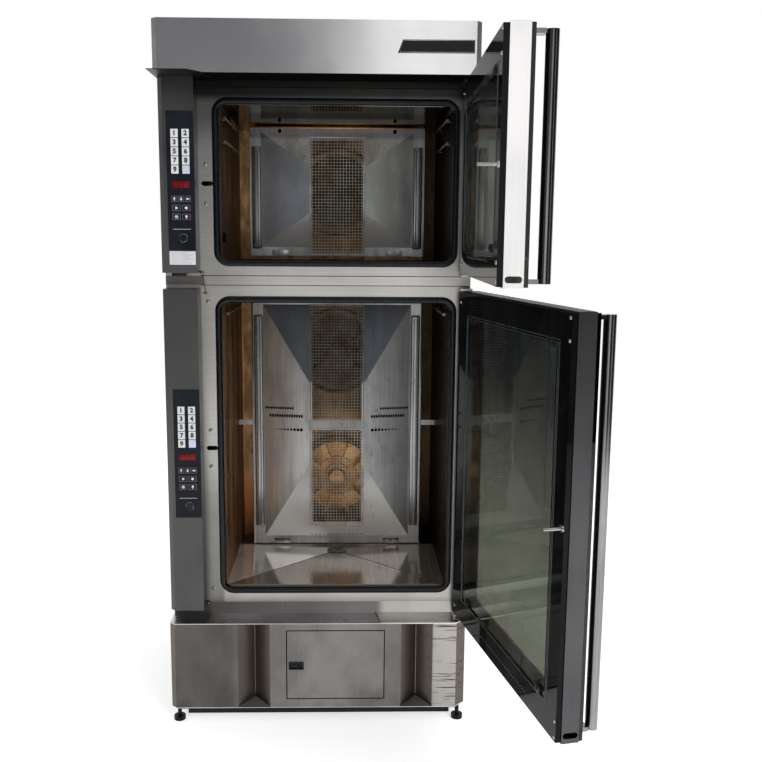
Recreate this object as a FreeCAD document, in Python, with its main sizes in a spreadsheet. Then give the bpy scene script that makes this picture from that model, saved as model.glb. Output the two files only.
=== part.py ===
"""Two-deck convection oven on a base cabinet, with a steam hood and two glazed doors.

Frame: +Z up, the front towards -Y, the origin on the floor under the middle of the cabinet.
All sizes are millimetres and degrees.
"""
import FreeCAD
import Part
import math
import os
from types import SimpleNamespace
import Sketcher
from FreeCAD import Placement, Rotation, Vector

# Driving dimensions
SIZES = {
    # Cabinet
    "casing_sheet": 2,
    "stile_left": 40,
    "stile_right": 38,
    "motor_room": 240,
    # Plinth and feet
    "plinth_height": 45,
    "plinth_wall": 3,
    "plinth_front_reach": 35,
    "plinth_side_inset": 40,
    "plinth_rear_inset": 40,
    "foot_radius": 17,
    "foot_pad_height": 12,
    "foot_stem_radius": 6,
    "foot_side_inset": 20,
    "foot_front_reach": 66,
    "foot_rear_inset": 30,
    # Base cabinet
    "base_height": 263,
    "base_reach": 90,
    "base_bevel_left": 15,
    "base_bevel_right": 30,
    "groove_middle": 239.5,
    "groove_half_width": 48,
    "groove_depth": 40,
    "hatch_width": 284,
    "hatch_lift": 30,
    "hatch_head_drop": 24,
    "hatch_depth": 15,
    "hatch_skin": 1.5,
    "hatch_gap": 3,
    "hatch_pin_inset": 8,
    "hatch_pin_radius": 3,
    "hatch_pin_length": 11,
    "jamb_width": 14,
    "pull_width": 45,
    "pull_height": 26,
    "pull_inset": 4,
    "pull_drop": 94,
    "pull_depth": 10,
    "pull_wall": 3,
    "compartment_depth": 240,
    # Heights of the front, from the base top up
    "sill_height": 78,
    "lower_opening_height": 851,
    "mid_height": 122,
    "upper_opening_height": 426,
    "head_height": 47,
    "hood_clearance": 18,
    "top_tray_rise": 40,
    "hood_height": 136,
    "sill_strip_height": 31,
    "sill_strip_reach": 12,
    "mid_strip_lift": 51,
    "mid_strip_height": 25,
    "mid_strip_sheet": 1.5,
    # Cavities
    "opening_width": 654,
    "cavity_floor_drop": 10,
    "lower_headroom": 20,
    "roof_fall": 13.5,
    "cavity_depth": 520,
    "cavity_wall": 2,
    "insulation_thickness": 38,
    "insulation_setback": 60,
    "seal_width": 19,
    "seal_corner": 42,
    "seal_clearance": 0.4,
    # Fan side of the cavities
    "fan_room": 135,
    "baffle_side_gap": 46,
    "hip_side_margin": 38,
    "ridge_rim": 4,
    "baffle_sheet": 2,
    "baffle_edge_gap": 4,
    "hip_depth": 28,
    "hip_margin": 32,
    "lower_ridge_height": 282,
    "upper_ridge_height": 150,
    "post_radius": 6,
    "post_inset": 28,
    "bracket_height": 17,
    "grille_half_width": 88,
    "grille_sheet": 3,
    "grille_bar": 3,
    "lower_grille_lift": 77,
    "lower_grille_split": 411,
    "lower_grille_drop": 32,
    "grille_spacing": 23,
    "upper_grille_lift": 8,
    "upper_grille_drop": 48,
    "window_rim": 6,
    "fan_radius": 120,
    "fan_end_room": 216,
    "fan_back_gap": 30,
    "fan_disc": 4,
    "blade_depth": 55,
    "blade_length": 48,
    "blade_sheet": 3,
    "hub_radius": 26,
    "hub_depth": 30,
    "shaft_radius": 8,
    "shaft_grip": 30,
    "shaft_clearance": 0.05,
    "wall_hole_clearance": 6,
    "motor_radius": 60,
    "motor_length": 130,
    "heater_radius": 140,
    "heater_tube": 4.5,
    "heater_pitch": 18,
    "heater_back_gap": 26,
    # Fittings in the cavities
    "rail_radius": 4,
    "rail_inset": 14,
    "rail_front_gap": 30,
    "rail_back_gap": 46,
    "rail_drop": 34,
    "rail_spacing": 64,
    "rail_stay_radius": 3,
    "rail_stay_inset": 40,
    "steam_nozzle_radius": 14,
    "steam_nozzle_bore": 10,
    "steam_nozzle_length": 6,
    "steam_nozzle_reach": 60,
    "steam_nozzle_lift": 62,
    "floor_pan_depth": 14,
    "floor_pan_fall": 10,
    "floor_pan_rim": 6,
    "floor_pan_front_gap": 6,
    "floor_pan_back_gap": 7,
    "drain_radius": 30,
    "drain_back_gap": 45,
    "strainer_sheet": 3,
    "pipe_radius": 20,
    "pipe_wall": 3,
    "pipe_clearance": 2,
    "pipe_drop": 66,
    "pipe_tail": 60,
    "tail_radius": 22,
    # Control columns
    "column_width": 98,
    "column_reach": 62,
    "column_bevel": 13,
    "column_sheet": 2,
    "column_lift": 29,
    "column_gap": 10,
    "panel_width": 74,
    "panel_height": 374,
    "panel_sheet": 3,
    "panel_side_gap": 23,
    "lower_panel_lift": 284,
    "upper_panel_lift": 62,
    "key_width": 22,
    "key_height": 23.5,
    "key_sheet": 1,
    "key_column_pitch": 30,
    "key_row_pitch": 25.4,
    "key_top_drop": 48,
    "display_width": 47,
    "display_height": 18,
    "display_drop": 186,
    "function_key_width": 22,
    "function_key_height": 17,
    "arrow_pitch": 18.5,
    "arrow_key_width": 14,
    "arrow_key_height": 16,
    "arrow_drop": 226,
    "function_pitch": 27,
    "function_row_pitch": 24,
    "function_drop": 250,
    "switch_radius": 10,
    "switch_depth": 9,
    "switch_drop": 340,
    "switch_offset": 4,
    "switch_stem_radius": 4,
    "switch_stem_length": 20,
    "switch_clearance": 0.05,
    "switch_gap": 0.3,
    "bushing_radius": 9,
    "bushing_length": 12,
    "board_width": 60,
    "board_sheet": 2,
    "board_gap": 14,
    "board_margin": 60,
    "board_spacer_radius": 4,
    # Hood
    "hood_reach": 122,
    "hood_bevel": 14,
    "hood_sheet": 2,
    "visor_overlap": 5,
    "visor_reach": 168,
    "visor_width": 103,
    "visor_taper": 36,
    "spigot_radius": 75,
    "spigot_wall": 2,
    "spigot_height": 40,
    "spigot_rear_inset": 180,
    # Doors
    "door_lap": 19,
    "door_pivot_inset": 9,
    "door_pivot_reach": 35,
    "door_gap": 10,
    "lower_door_lift": 10,
    "lower_door_lap": 38,
    "upper_door_lap": 36,
    "upper_door_head_gap": 7,
    "lower_door_angle": 101,
    "upper_door_angle": 88.5,
    "inner_frame_depth": 13,
    "inner_frame_rail": 70,
    "inner_frame_margin": 3,
    "door_steel_depth": 42,
    "stile_width": 60,
    "stile_wall": 2.5,
    "stile_block": 60,
    "inner_glass_sheet": 6,
    "inner_glass_setback": 3,
    "outer_glass_sheet": 9.5,
    "outer_glass_margin": 2,
    "handle_gap": 25,
    "handle_depth": 28,
    "handle_width": 28,
    "handle_corner": 13.5,
    "handle_edge_inset": 26,
    "handle_end_drop": 8,
    "handle_foot_height": 10,
    "latch_inset": 9,
    "latch_radius": 4,
    "latch_length": 45,
    "latch_collar_radius": 8,
    "latch_collar_length": 4,
    "lower_latch_lift": 426,
    "upper_latch_lift": 211,
    "latch_slot_width": 32,
    "latch_slot_height": 13,
    "latch_slot_shift": 5.5,
    "stile_slot_length": 36,
    "stile_slot_width": 14,
    "stile_slot_lift": 18,
    "hinge_pin_radius": 6,
    "hinge_pin_length": 24,
    "hinge_clearance": 0.05,
    "hinge_plate": 6,
    "hinge_plate_gap": 1.5,
    "hinge_plate_width": 24,
    "hinge_plate_front": 15,
    # Fasteners and rear connections
    "screw_radius": 4,
    "screw_head": 2,
    "screw_inset": 19,
    "screw_spread": 54,
    "corner_screw_drop": 4,
    "inlet_radius": 13.2,
    "inlet_bore": 9.5,
    "inlet_length": 18,
    "inlet_flange_radius": 19,
    "inlet_flange": 6,
    "inlet_side_gap": 184,
    "connection_height": 200,
    "gland_radius": 16,
    "gland_bore": 9,
    "gland_seat": 11,
    "gland_length": 24,
    "gland_side_gap": 104,
}

# How far a sheet face moves along a 45 degree bend, per unit of sheet thickness.
BEVEL_EASE = math.sqrt(2) - 1
QUARTER_TURN = math.pi / 2
MESH_COLUMNS = 12
MESH_ROW_PITCH = 15
BLADE_COUNT = 10
HEATER_TURNS = 3
KEY_ROWS = 5
FUNCTION_ROWS = 2
ARROW_KEYS = 3

doc = FreeCAD.newDocument("deck_oven")
sheet = doc.addObject("Spreadsheet::Sheet", "Sizes")
for row, (alias, number) in enumerate(SIZES.items(), start=1):
    sheet.set(f"A{row}", alias)
    sheet.set(f"B{row}", str(number))
    sheet.setAlias(f"B{row}", alias)
doc.recompute()


class Length:
    """A size with its value and the sheet formula that gives it."""

    def __init__(self, formula, value):
        self.formula = formula
        self.value = value

    @staticmethod
    def of(other):
        return other if isinstance(other, Length) else Length(f"{other}", other)

    def joined(self, sign, other, value):
        return Length(f"({self.formula} {sign} {other.formula})", value)

    def __add__(self, other):
        other = Length.of(other)
        return self.joined("+", other, self.value + other.value)

    def __sub__(self, other):
        other = Length.of(other)
        return self.joined("-", other, self.value - other.value)

    def __mul__(self, factor):
        factor = Length.of(factor)
        return self.joined("*", factor, self.value * factor.value)

    def __truediv__(self, factor):
        factor = Length.of(factor)
        return self.joined("/", factor, self.value / factor.value)

    def __radd__(self, other):
        return Length.of(other) + self

    def __rsub__(self, other):
        return Length.of(other) - self

    def __rmul__(self, factor):
        return Length.of(factor) * self

    def __neg__(self):
        return Length(f"(-{self.formula})", -self.value)


d = SimpleNamespace(**{alias: Length(f"Sizes.{alias}", sheet.get(alias)) for alias in SIZES})
ZERO = Length("0", 0)

# Planes and levels that several pieces share
CABINET_WIDTH = (
    d.column_width + d.stile_left + d.seal_width * 2 + d.opening_width + d.stile_right
)
CABINET_DEPTH = d.cavity_depth + d.cavity_wall + d.insulation_thickness + d.motor_room
LEFT = -CABINET_WIDTH / 2
RIGHT = CABINET_WIDTH / 2
FRAME = -CABINET_DEPTH / 2
REAR = CABINET_DEPTH / 2
OPENING_LEFT = LEFT + d.column_width + d.stile_left + d.seal_width
OPENING_RIGHT = OPENING_LEFT + d.opening_width
MIDDLE = OPENING_LEFT + d.opening_width / 2
BASE_TOP = d.plinth_height + d.base_height
BASE_FRONT = FRAME - d.base_reach
LOWER_SILL = BASE_TOP + d.sill_height
LOWER_HEAD = LOWER_SILL + d.lower_opening_height
UPPER_SILL = LOWER_HEAD + d.mid_height
UPPER_HEAD = UPPER_SILL + d.upper_opening_height
FRAME_TOP = UPPER_HEAD + d.head_height
HOOD_FOOT = FRAME_TOP + d.hood_clearance
HOOD_TOP = HOOD_FOOT + d.hood_height
MID_STRIP = LOWER_HEAD + d.mid_strip_lift
MID_STRIP_TOP = MID_STRIP + d.mid_strip_height
LOWER_FLOOR = LOWER_SILL - d.cavity_floor_drop
LOWER_ROOF = LOWER_HEAD + d.lower_headroom
UPPER_FLOOR = UPPER_SILL - d.cavity_floor_drop
UPPER_ROOF = UPPER_HEAD
FRAME_BACK = FRAME + d.casing_sheet
CAVITY_BACK = FRAME + d.cavity_depth
INSULATION_BACK = CAVITY_BACK + d.cavity_wall + d.insulation_thickness
BAFFLE = CAVITY_BACK - d.fan_room
BAFFLE_HALF = d.opening_width / 2 - d.baffle_side_gap
RIDGE = BAFFLE - d.hip_depth
DOOR_X = RIGHT - d.door_pivot_inset
DOOR_Y = FRAME - d.door_pivot_reach
DOOR_WIDTH = DOOR_X - OPENING_LEFT + d.seal_width + d.door_lap
LOWER_DOOR_FOOT = BASE_TOP + d.lower_door_lift
LOWER_DOOR_HEAD = LOWER_HEAD + d.lower_door_lap
UPPER_DOOR_FOOT = UPPER_SILL - d.upper_door_lap
UPPER_DOOR_HEAD = HOOD_FOOT - d.upper_door_head_gap
COLUMN_RIGHT = LEFT + d.column_width
COLUMN_FRONT = FRAME - d.column_reach
LOWER_COLUMN_FOOT = BASE_TOP + d.column_lift
LOWER_COLUMN_HEAD = MID_STRIP - d.column_gap
UPPER_COLUMN_FOOT = MID_STRIP_TOP + d.column_gap
UPPER_COLUMN_HEAD = HOOD_FOOT - d.casing_sheet
PANEL_FRONT = COLUMN_FRONT - d.panel_sheet
PANEL_MIDDLE = LEFT + d.panel_side_gap + d.panel_width / 2
LOWER_PANEL_TOP = LOWER_COLUMN_FOOT + d.lower_panel_lift + d.panel_height
UPPER_PANEL_TOP = UPPER_COLUMN_FOOT + d.upper_panel_lift + d.panel_height
DRAIN_Y = BAFFLE - d.drain_back_gap
PIPE_LEVEL = BASE_TOP - d.pipe_drop
HATCH_LEFT = MIDDLE - d.hatch_width / 2
HATCH_RIGHT = MIDDLE + d.hatch_width / 2
HATCH_FOOT = d.plinth_height + d.hatch_lift
HATCH_HEAD = BASE_TOP - d.hatch_head_drop
CONNECTION_Z = d.connection_height
INLET_X = LEFT + d.inlet_side_gap
GLAND_X = LEFT + d.gland_side_gap

TO_BACK = Rotation(Vector(1, 0, 0), -90)
TO_RIGHT = Rotation(Vector(0, 1, 0), 90)
UPRIGHT = Rotation()
STAND_UP = Rotation(Vector(1, 0, 0), 90)

nodes = []


def bind(thing, **formulas):
    """Tie properties of an object to formulas on the sheet."""
    for name, size in formulas.items():
        thing.setExpression(name, Length.of(size).formula)


def put(thing, x, y, z):
    """Tie the base point of an object's placement to three sizes."""
    for axis, size in zip("xyz", (x, y, z)):
        thing.setExpression(f"Placement.Base.{axis}", Length.of(size).formula)


def box(x, y, z):
    """A block between two planes on each axis."""
    block = doc.addObject("Part::Box", "block")
    bind(block, Length=x[1] - x[0], Width=y[1] - y[0], Height=z[1] - z[0])
    put(block, x[0], y[0], z[0])
    return block


def cylinder(x, y, z, radius, length, turn=UPRIGHT):
    """A round bar from a point, along +Z unless turned."""
    bar = doc.addObject("Part::Cylinder", "bar")
    bar.Placement = Placement(Vector(), turn)
    bind(bar, Radius=radius, Height=length)
    put(bar, x, y, z)
    return bar


def torus(x, y, z, ring, tube):
    """A ring about an axis along Y."""
    loop = doc.addObject("Part::Torus", "loop")
    loop.Placement = Placement(Vector(), TO_BACK)
    bind(loop, Radius1=ring, Radius2=tube)
    put(loop, x, y, z)
    return loop


def wedge(x, y, z, far_x, far_z):
    """A block whose section changes from x by z at its near end to far_x by far_z at its far end."""
    block = doc.addObject("Part::Wedge", "taper")
    bind(block, Xmin=x[0], Xmax=x[1], Ymin=y[0], Ymax=y[1], Zmin=z[0], Zmax=z[1])
    bind(block, X2min=far_x[0], X2max=far_x[1], Z2min=far_z[0], Z2max=far_z[1])
    return block


def fuse(*pieces):
    joined = doc.addObject("Part::MultiFuse", "joined")
    joined.Shapes = list(pieces)
    return joined


def cut(base, *tools):
    """A piece with one or more tools taken away."""
    pocket = tools[0] if len(tools) == 1 else fuse(*tools)
    result = doc.addObject("Part::Cut", "trimmed")
    result.Base = base
    result.Tool = pocket
    return result


def node(label, *pieces):
    """A named sub-part, as a group of its solids."""
    part = doc.addObject("Part::Compound", label)
    part.Label = label
    part.Links = list(pieces)
    nodes.append(part)
    return part


def hang(part, angle):
    """Turn a door piece, drawn closed about its pivot, to the angle that the door stands open at."""
    part.Placement = Placement(Vector(), Rotation(Vector(0, 0, 1), 1))
    put(part, DOOR_X, DOOR_Y, ZERO)
    bind(part, **{"Placement.Rotation.Angle": angle})
    return part


def new_sketch(body, role, offset):
    """A sketch on one of a body's own origin planes, moved along the plane's normal."""
    plane = next(item for item in body.Origin.OriginFeatures if item.Role == role)
    sketch = body.newObject("Sketcher::SketchObject", "outline")
    sketch.AttachmentSupport = [(plane, "")]
    sketch.MapMode = "FlatFace"
    sketch.setExpression("AttachmentOffset.Base.z", Length.of(offset).formula)
    return sketch


def place_point(sketch, line, across, up):
    """Hold a line's first point at a distance from the sketch's origin."""
    for kind, size in (("DistanceX", across), ("DistanceY", up)):
        rule = sketch.addConstraint(Sketcher.Constraint(kind, -1, 1, line, 1, size.value))
        sketch.setExpression(f"Constraints[{rule}]", size.formula)


def polygon(sketch, points):
    """A closed outline through points given as pairs of sizes."""
    first = sketch.GeometryCount
    corners = [Vector(across.value, up.value, 0) for across, up in points]
    for start, end in zip(corners, corners[1:] + corners[:1]):
        sketch.addGeometry(Part.LineSegment(start, end))
    for index in range(len(points)):
        follower = first + (index + 1) % len(points)
        sketch.addConstraint(Sketcher.Constraint("Coincident", first + index, 2, follower, 1))
    for index, (across, up) in enumerate(points):
        place_point(sketch, first + index, across, up)


def rounded_rectangle(sketch, across, up, corner):
    """A closed outline of four lines joined by four tangent arcs of one radius."""
    first = sketch.GeometryCount
    low_x, high_x = across[0].value, across[1].value
    low_y, high_y = up[0].value, up[1].value
    r = corner.value
    sides = [
        ((low_x + r, low_y), (high_x - r, low_y)),
        ((high_x, low_y + r), (high_x, high_y - r)),
        ((high_x - r, high_y), (low_x + r, high_y)),
        ((low_x, high_y - r), (low_x, low_y + r)),
    ]
    centres = [
        (high_x - r, low_y + r),
        (high_x - r, high_y - r),
        (low_x + r, high_y - r),
        (low_x + r, low_y + r),
    ]
    for start, end in sides:
        sketch.addGeometry(Part.LineSegment(Vector(*start, 0), Vector(*end, 0)))
    for index, centre in enumerate(centres):
        circle = Part.Circle(Vector(*centre, 0), Vector(0, 0, 1), r)
        start = (index - 1) * QUARTER_TURN
        sketch.addGeometry(Part.ArcOfCircle(circle, start, start + QUARTER_TURN))
    for index in range(4):
        arc = first + 4 + index
        follower = first + (index + 1) % 4
        sketch.addConstraint(Sketcher.Constraint("Tangent", first + index, 2, arc, 1))
        sketch.addConstraint(Sketcher.Constraint("Tangent", arc, 2, follower, 1))
        sketch.addConstraint(Sketcher.Constraint("Vertical" if index % 2 else "Horizontal", first + index))
    for index in range(1, 4):
        sketch.addConstraint(Sketcher.Constraint("Equal", first + 4, first + 4 + index))
    rule = sketch.addConstraint(Sketcher.Constraint("Radius", first + 4, r))
    sketch.setExpression(f"Constraints[{rule}]", corner.formula)
    edges = (
        ("DistanceY", 0, up[0]),
        ("DistanceX", 1, across[1]),
        ("DistanceY", 2, up[1]),
        ("DistanceX", 3, across[0]),
    )
    for kind, index, size in edges:
        rule = sketch.addConstraint(Sketcher.Constraint(kind, -1, 1, first + index, 1, size.value))
        sketch.setExpression(f"Constraints[{rule}]", size.formula)


def pad(body, sketch, length):
    feature = body.newObject("PartDesign::Pad", "pad")
    feature.Profile = sketch
    bind(feature, Length=length)
    sketch.Visibility = False
    return feature


def prism(points, low, high):
    """An upright solid with a polygon plan, between two levels."""
    body = doc.addObject("PartDesign::Body", "prism")
    sketch = new_sketch(body, "XY_Plane", low)
    polygon(sketch, points)
    pad(body, sketch, high - low)
    return body


def bent_sheet(points, inner, low, high):
    """An upright bent sheet whose plan runs along points and back along inner."""
    return prism(points + inner[::-1], low, high)


def along_x(points, low, high):
    """A solid with a polygon section in Y and Z, between two planes across X."""
    body = doc.addObject("PartDesign::Body", "section")
    sketch = new_sketch(body, "YZ_Plane", low)
    polygon(sketch, points)
    pad(body, sketch, high - low)
    return body


def stadium(x, y, z, depth, length, height):
    """A slot with round ends, long along X, going back from y; x is its middle."""
    half = (length - height) / 2
    straight = box((x - half, x + half), (y, y + depth), (z - height / 2, z + height / 2))
    ends = [cylinder(x + side * half, y, z, height / 2, depth, TO_BACK) for side in (-1, 1)]
    return fuse(straight, *ends)


def plinth():
    """A black pan that the cabinet stands on."""
    side = CABINET_WIDTH / 2 - d.plinth_side_inset
    front = FRAME - d.plinth_front_reach
    back = REAR - d.plinth_rear_inset
    shell = box((-side, side), (front, back), (ZERO, d.plinth_height))
    wall = d.plinth_wall
    hollow = box((wall - side, side - wall), (front + wall, back - wall), (wall, d.plinth_height))
    node("plinth", cut(shell, hollow))


def levelling_feet():
    pieces = []
    for side in (-1, 1):
        for y in (FRAME - d.foot_front_reach, REAR - d.foot_rear_inset):
            x = side * (CABINET_WIDTH / 2 - d.foot_side_inset)
            pad_disc = cylinder(x, y, ZERO, d.foot_radius, d.foot_pad_height)
            stem = cylinder(x, y, d.foot_pad_height, d.foot_stem_radius, d.plinth_height - d.foot_pad_height)
            pieces.append(fuse(pad_disc, stem))
    node("levelling_feet", *pieces)


def base_outline():
    """The base's plan, with a bevel at each front corner."""
    return [
        (LEFT, REAR),
        (LEFT, BASE_FRONT + d.base_bevel_left),
        (LEFT + d.base_bevel_left, BASE_FRONT),
        (RIGHT - d.base_bevel_right, BASE_FRONT),
        (RIGHT, BASE_FRONT + d.base_bevel_right),
        (RIGHT, REAR),
    ]


def base_front():
    """The base's folded front sheet: two upright V grooves and the hatch opening."""
    def face(inset):
        ease = inset * BEVEL_EASE
        line = [
            (LEFT + inset, BASE_FRONT + d.base_bevel_left + ease),
            (LEFT + d.base_bevel_left + ease, BASE_FRONT + inset),
        ]
        for side in (-1, 1):
            x = MIDDLE + side * d.groove_middle
            line.append((x - d.groove_half_width, BASE_FRONT + inset))
            line.append((x, BASE_FRONT + d.groove_depth + inset))
            line.append((x + d.groove_half_width, BASE_FRONT + inset))
        line.append((RIGHT - d.base_bevel_right - ease, BASE_FRONT + inset))
        line.append((RIGHT - inset, BASE_FRONT + d.base_bevel_right + ease))
        return line

    low = d.plinth_height + d.casing_sheet
    high = BASE_TOP - d.casing_sheet
    skin = bent_sheet(face(ZERO), face(d.casing_sheet), low, high)
    gap = d.hatch_gap
    opening = box(
        (HATCH_LEFT - gap, HATCH_RIGHT + gap),
        (BASE_FRONT - gap, BASE_FRONT + d.groove_depth),
        (HATCH_FOOT - gap, HATCH_HEAD + gap),
    )
    node("base_front", cut(skin, opening))


def base_plates():
    """The base's floor and top, which close the folded front above and below."""
    pipe_hole = cylinder(MIDDLE, DRAIN_Y, BASE_TOP - d.casing_sheet * 2,
                         d.pipe_radius + d.pipe_clearance, d.casing_sheet * 3)
    floor = prism(base_outline(), d.plinth_height, d.plinth_height + d.casing_sheet)
    top = prism(base_outline(), BASE_TOP - d.casing_sheet, BASE_TOP)
    node("base_plates", floor, cut(top, pipe_hole))


def side_panel(label, outer, inner, base_bevel):
    """A flank: its base part reaches further forward than its oven part."""
    across = (outer, inner) if outer.value < inner.value else (inner, outer)
    low = d.plinth_height + d.casing_sheet
    base = box(across, (BASE_FRONT + base_bevel + d.casing_sheet * BEVEL_EASE, REAR - d.casing_sheet),
               (low, BASE_TOP - d.casing_sheet))
    body = box(across, (FRAME_BACK, REAR - d.casing_sheet), (BASE_TOP, HOOD_FOOT))
    node(label, base, body)


def rear_panel():
    low = d.plinth_height + d.casing_sheet
    sheet_y = (REAR - d.casing_sheet, REAR)
    base = box((LEFT, RIGHT), sheet_y, (low, BASE_TOP - d.casing_sheet))
    body = box((LEFT, RIGHT), sheet_y, (BASE_TOP, HOOD_FOOT))
    reach = d.casing_sheet * 3
    start = REAR - d.casing_sheet * 2
    drain = cylinder(MIDDLE, start, PIPE_LEVEL, d.pipe_radius + d.pipe_clearance / 4, reach, TO_BACK)
    inlet = cylinder(INLET_X, start, CONNECTION_Z, d.inlet_radius, reach, TO_BACK)
    gland = cylinder(GLAND_X, start, CONNECTION_Z, d.gland_seat, reach, TO_BACK)
    node("rear_panel", cut(base, drain, inlet, gland), body)


def top_panel():
    """An inverted tray over the upper chamber, which rises inside the hood."""
    t = d.casing_sheet
    top = HOOD_FOOT + d.top_tray_rise
    x = (LEFT + t, RIGHT - t)
    y = (FRAME_BACK, REAR - t)
    plate = box(x, (FRAME, y[1]), (top - t, top))
    lower_front = box((LEFT, RIGHT), (FRAME, FRAME_BACK), (FRAME_TOP, HOOD_FOOT))
    upper_front = box(x, (FRAME, FRAME_BACK), (HOOD_FOOT, top - t))
    back = box(x, (y[1] - t, y[1]), (HOOD_FOOT, top - t))
    left = box((x[0], x[0] + t), (y[0], y[1] - t), (HOOD_FOOT, top - t))
    right = box((x[1] - t, x[1]), (y[0], y[1] - t), (HOOD_FOOT, top - t))
    node("top_panel", plate, lower_front, upper_front, back, left, right)


def base_hatch():
    """The pan-shaped hatch, its black pull, and the jamb that carries its two pins."""
    front = BASE_FRONT
    back = BASE_FRONT + d.hatch_depth
    skin = d.hatch_skin
    pin_x = HATCH_RIGHT - d.hatch_pin_inset
    pin_y = BASE_FRONT + d.hatch_pin_inset
    bore = d.hatch_pin_radius + d.hinge_clearance
    reach = d.hatch_pin_length
    pull_left = HATCH_LEFT + d.pull_inset
    pull_top = HATCH_HEAD - d.pull_drop
    pull_x = (pull_left, pull_left + d.pull_width)
    pull_z = (pull_top - d.pull_height, pull_top)
    block = box((HATCH_LEFT, HATCH_RIGHT), (front, back), (HATCH_FOOT, HATCH_HEAD))
    hollow = box(
        (pull_x[1] + skin, pin_x - d.hatch_pin_inset),
        (front + skin, back),
        (HATCH_FOOT + skin, HATCH_HEAD - skin),
    )
    window = box(pull_x, (front - skin, back), pull_z)
    low_bore = cylinder(pin_x, pin_y, HATCH_FOOT, bore, reach)
    high_bore = cylinder(pin_x, pin_y, HATCH_HEAD - reach, bore, reach)
    node("base_hatch", cut(block, hollow, window, low_bore, high_bore))

    wall = d.pull_wall
    cup = box(pull_x, (front, front + d.pull_depth), pull_z)
    recess = box(
        (pull_x[0] + wall, pull_x[1] - wall),
        (front, front + d.pull_depth - wall),
        (pull_z[0] + wall, pull_z[1] - wall),
    )
    node("hatch_pull", cut(cup, recess))

    gap = d.hatch_gap
    jamb_y = (BASE_FRONT + d.casing_sheet, back)
    wide = (HATCH_LEFT - gap - d.jamb_width, HATCH_RIGHT + gap + d.jamb_width)
    low_z = (HATCH_FOOT - gap - d.jamb_width, HATCH_FOOT - gap)
    high_z = (HATCH_HEAD + gap, HATCH_HEAD + gap + d.jamb_width)
    bars = [
        fuse(box(wide, jamb_y, low_z), cylinder(pin_x, pin_y, low_z[1] - gap, d.hatch_pin_radius, reach)),
        fuse(box(wide, jamb_y, high_z),
             cylinder(pin_x, pin_y, high_z[0] + gap - reach, d.hatch_pin_radius, reach)),
        box((wide[0], HATCH_LEFT - gap), jamb_y, (low_z[1], high_z[0])),
        box((HATCH_RIGHT + gap * 2, wide[1]), jamb_y, (low_z[1], high_z[0])),
    ]
    node("hatch_frame", *bars)

    t = d.casing_sheet
    inner_x = (HATCH_LEFT - gap, HATCH_RIGHT + gap * 2)
    inner_z = (HATCH_FOOT - gap, HATCH_HEAD + gap)
    run = (back, back + d.compartment_depth)
    liner = [
        box((inner_x[0] - t, inner_x[0]), run, inner_z),
        box((inner_x[1], inner_x[1] + t), run, inner_z),
        box((inner_x[0] - t, inner_x[1] + t), run, (inner_z[0] - t, inner_z[0])),
        box((inner_x[0] - t, inner_x[1] + t), run, (inner_z[1], inner_z[1] + t)),
        box((inner_x[0] - t, inner_x[1] + t), (run[1], run[1] + t), (inner_z[0] - t, inner_z[1] + t)),
    ]
    node("service_compartment", *liner)


def front_frame(label, sill, head, low, high, latch):
    """The steel face round one oven opening: four plates, the left one with the latch slot."""
    face = (FRAME, FRAME_BACK)
    left = box((LEFT, OPENING_LEFT), face, (sill, head))
    slot_x = DOOR_X - DOOR_WIDTH + d.latch_inset - d.latch_slot_shift
    slot = stadium(slot_x, FRAME - d.casing_sheet, latch, d.casing_sheet * 3,
                   d.latch_slot_width, d.latch_slot_height)
    right = box((OPENING_RIGHT, RIGHT), face, (sill, head))
    bottom = box((LEFT, RIGHT), face, (low, sill))
    top = box((LEFT, RIGHT), face, (head, high))
    node(label, cut(left, slot), right, bottom, top)


def trim_strips():
    """The sloped sill over the base and the flat strip between the two decks."""
    start = COLUMN_RIGHT
    end = RIGHT - d.hinge_plate_width - d.door_pivot_inset
    sill = along_x(
        [(FRAME, BASE_TOP), (FRAME, BASE_TOP + d.sill_strip_height), (FRAME - d.sill_strip_reach, BASE_TOP)],
        start, end,
    )
    strip = box((LEFT, RIGHT), (FRAME - d.mid_strip_sheet, FRAME), (MID_STRIP, MID_STRIP_TOP))
    node("trim_strips", sill, strip)


def fan_levels(sill, roof, lower):
    """Heights of the fan axes in one deck."""
    if lower:
        return [sill + d.fan_end_room, roof - d.fan_end_room]
    return [(sill + roof) / 2]


def shaft_holes(levels, start, length):
    radius = d.shaft_radius + d.wall_hole_clearance
    return [cylinder(MIDDLE, start, level, radius, length, TO_BACK) for level in levels]


def cavity(label, floor, roof, levels, drained):
    """One oven chamber: five sheets under a roof that falls to the back, with holes for shafts and drain."""
    t = d.cavity_wall
    run = (FRAME_BACK, CAVITY_BACK)
    inside = (OPENING_LEFT, OPENING_RIGHT)
    wide = (OPENING_LEFT - t, OPENING_RIGHT + t)
    roof_back = roof - d.roof_fall
    bottom = box(wide, run, (floor - t, floor))
    if drained:
        hole = cylinder(MIDDLE, DRAIN_Y, floor - t * 2, d.pipe_radius + d.pipe_clearance / 4, t * 3)
        bottom = cut(bottom, hole)
    back = box(wide, (CAVITY_BACK, CAVITY_BACK + t), (floor - t, roof + t))
    node(
        label,
        bottom,
        wedge(inside, run, (roof, roof + t), inside, (roof_back, roof_back + t)),
        box((OPENING_LEFT - t, OPENING_LEFT), run, (floor, roof + t)),
        box((OPENING_RIGHT, OPENING_RIGHT + t), run, (floor, roof + t)),
        cut(back, *shaft_holes(levels, CAVITY_BACK - t, t * 3)),
    )


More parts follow.
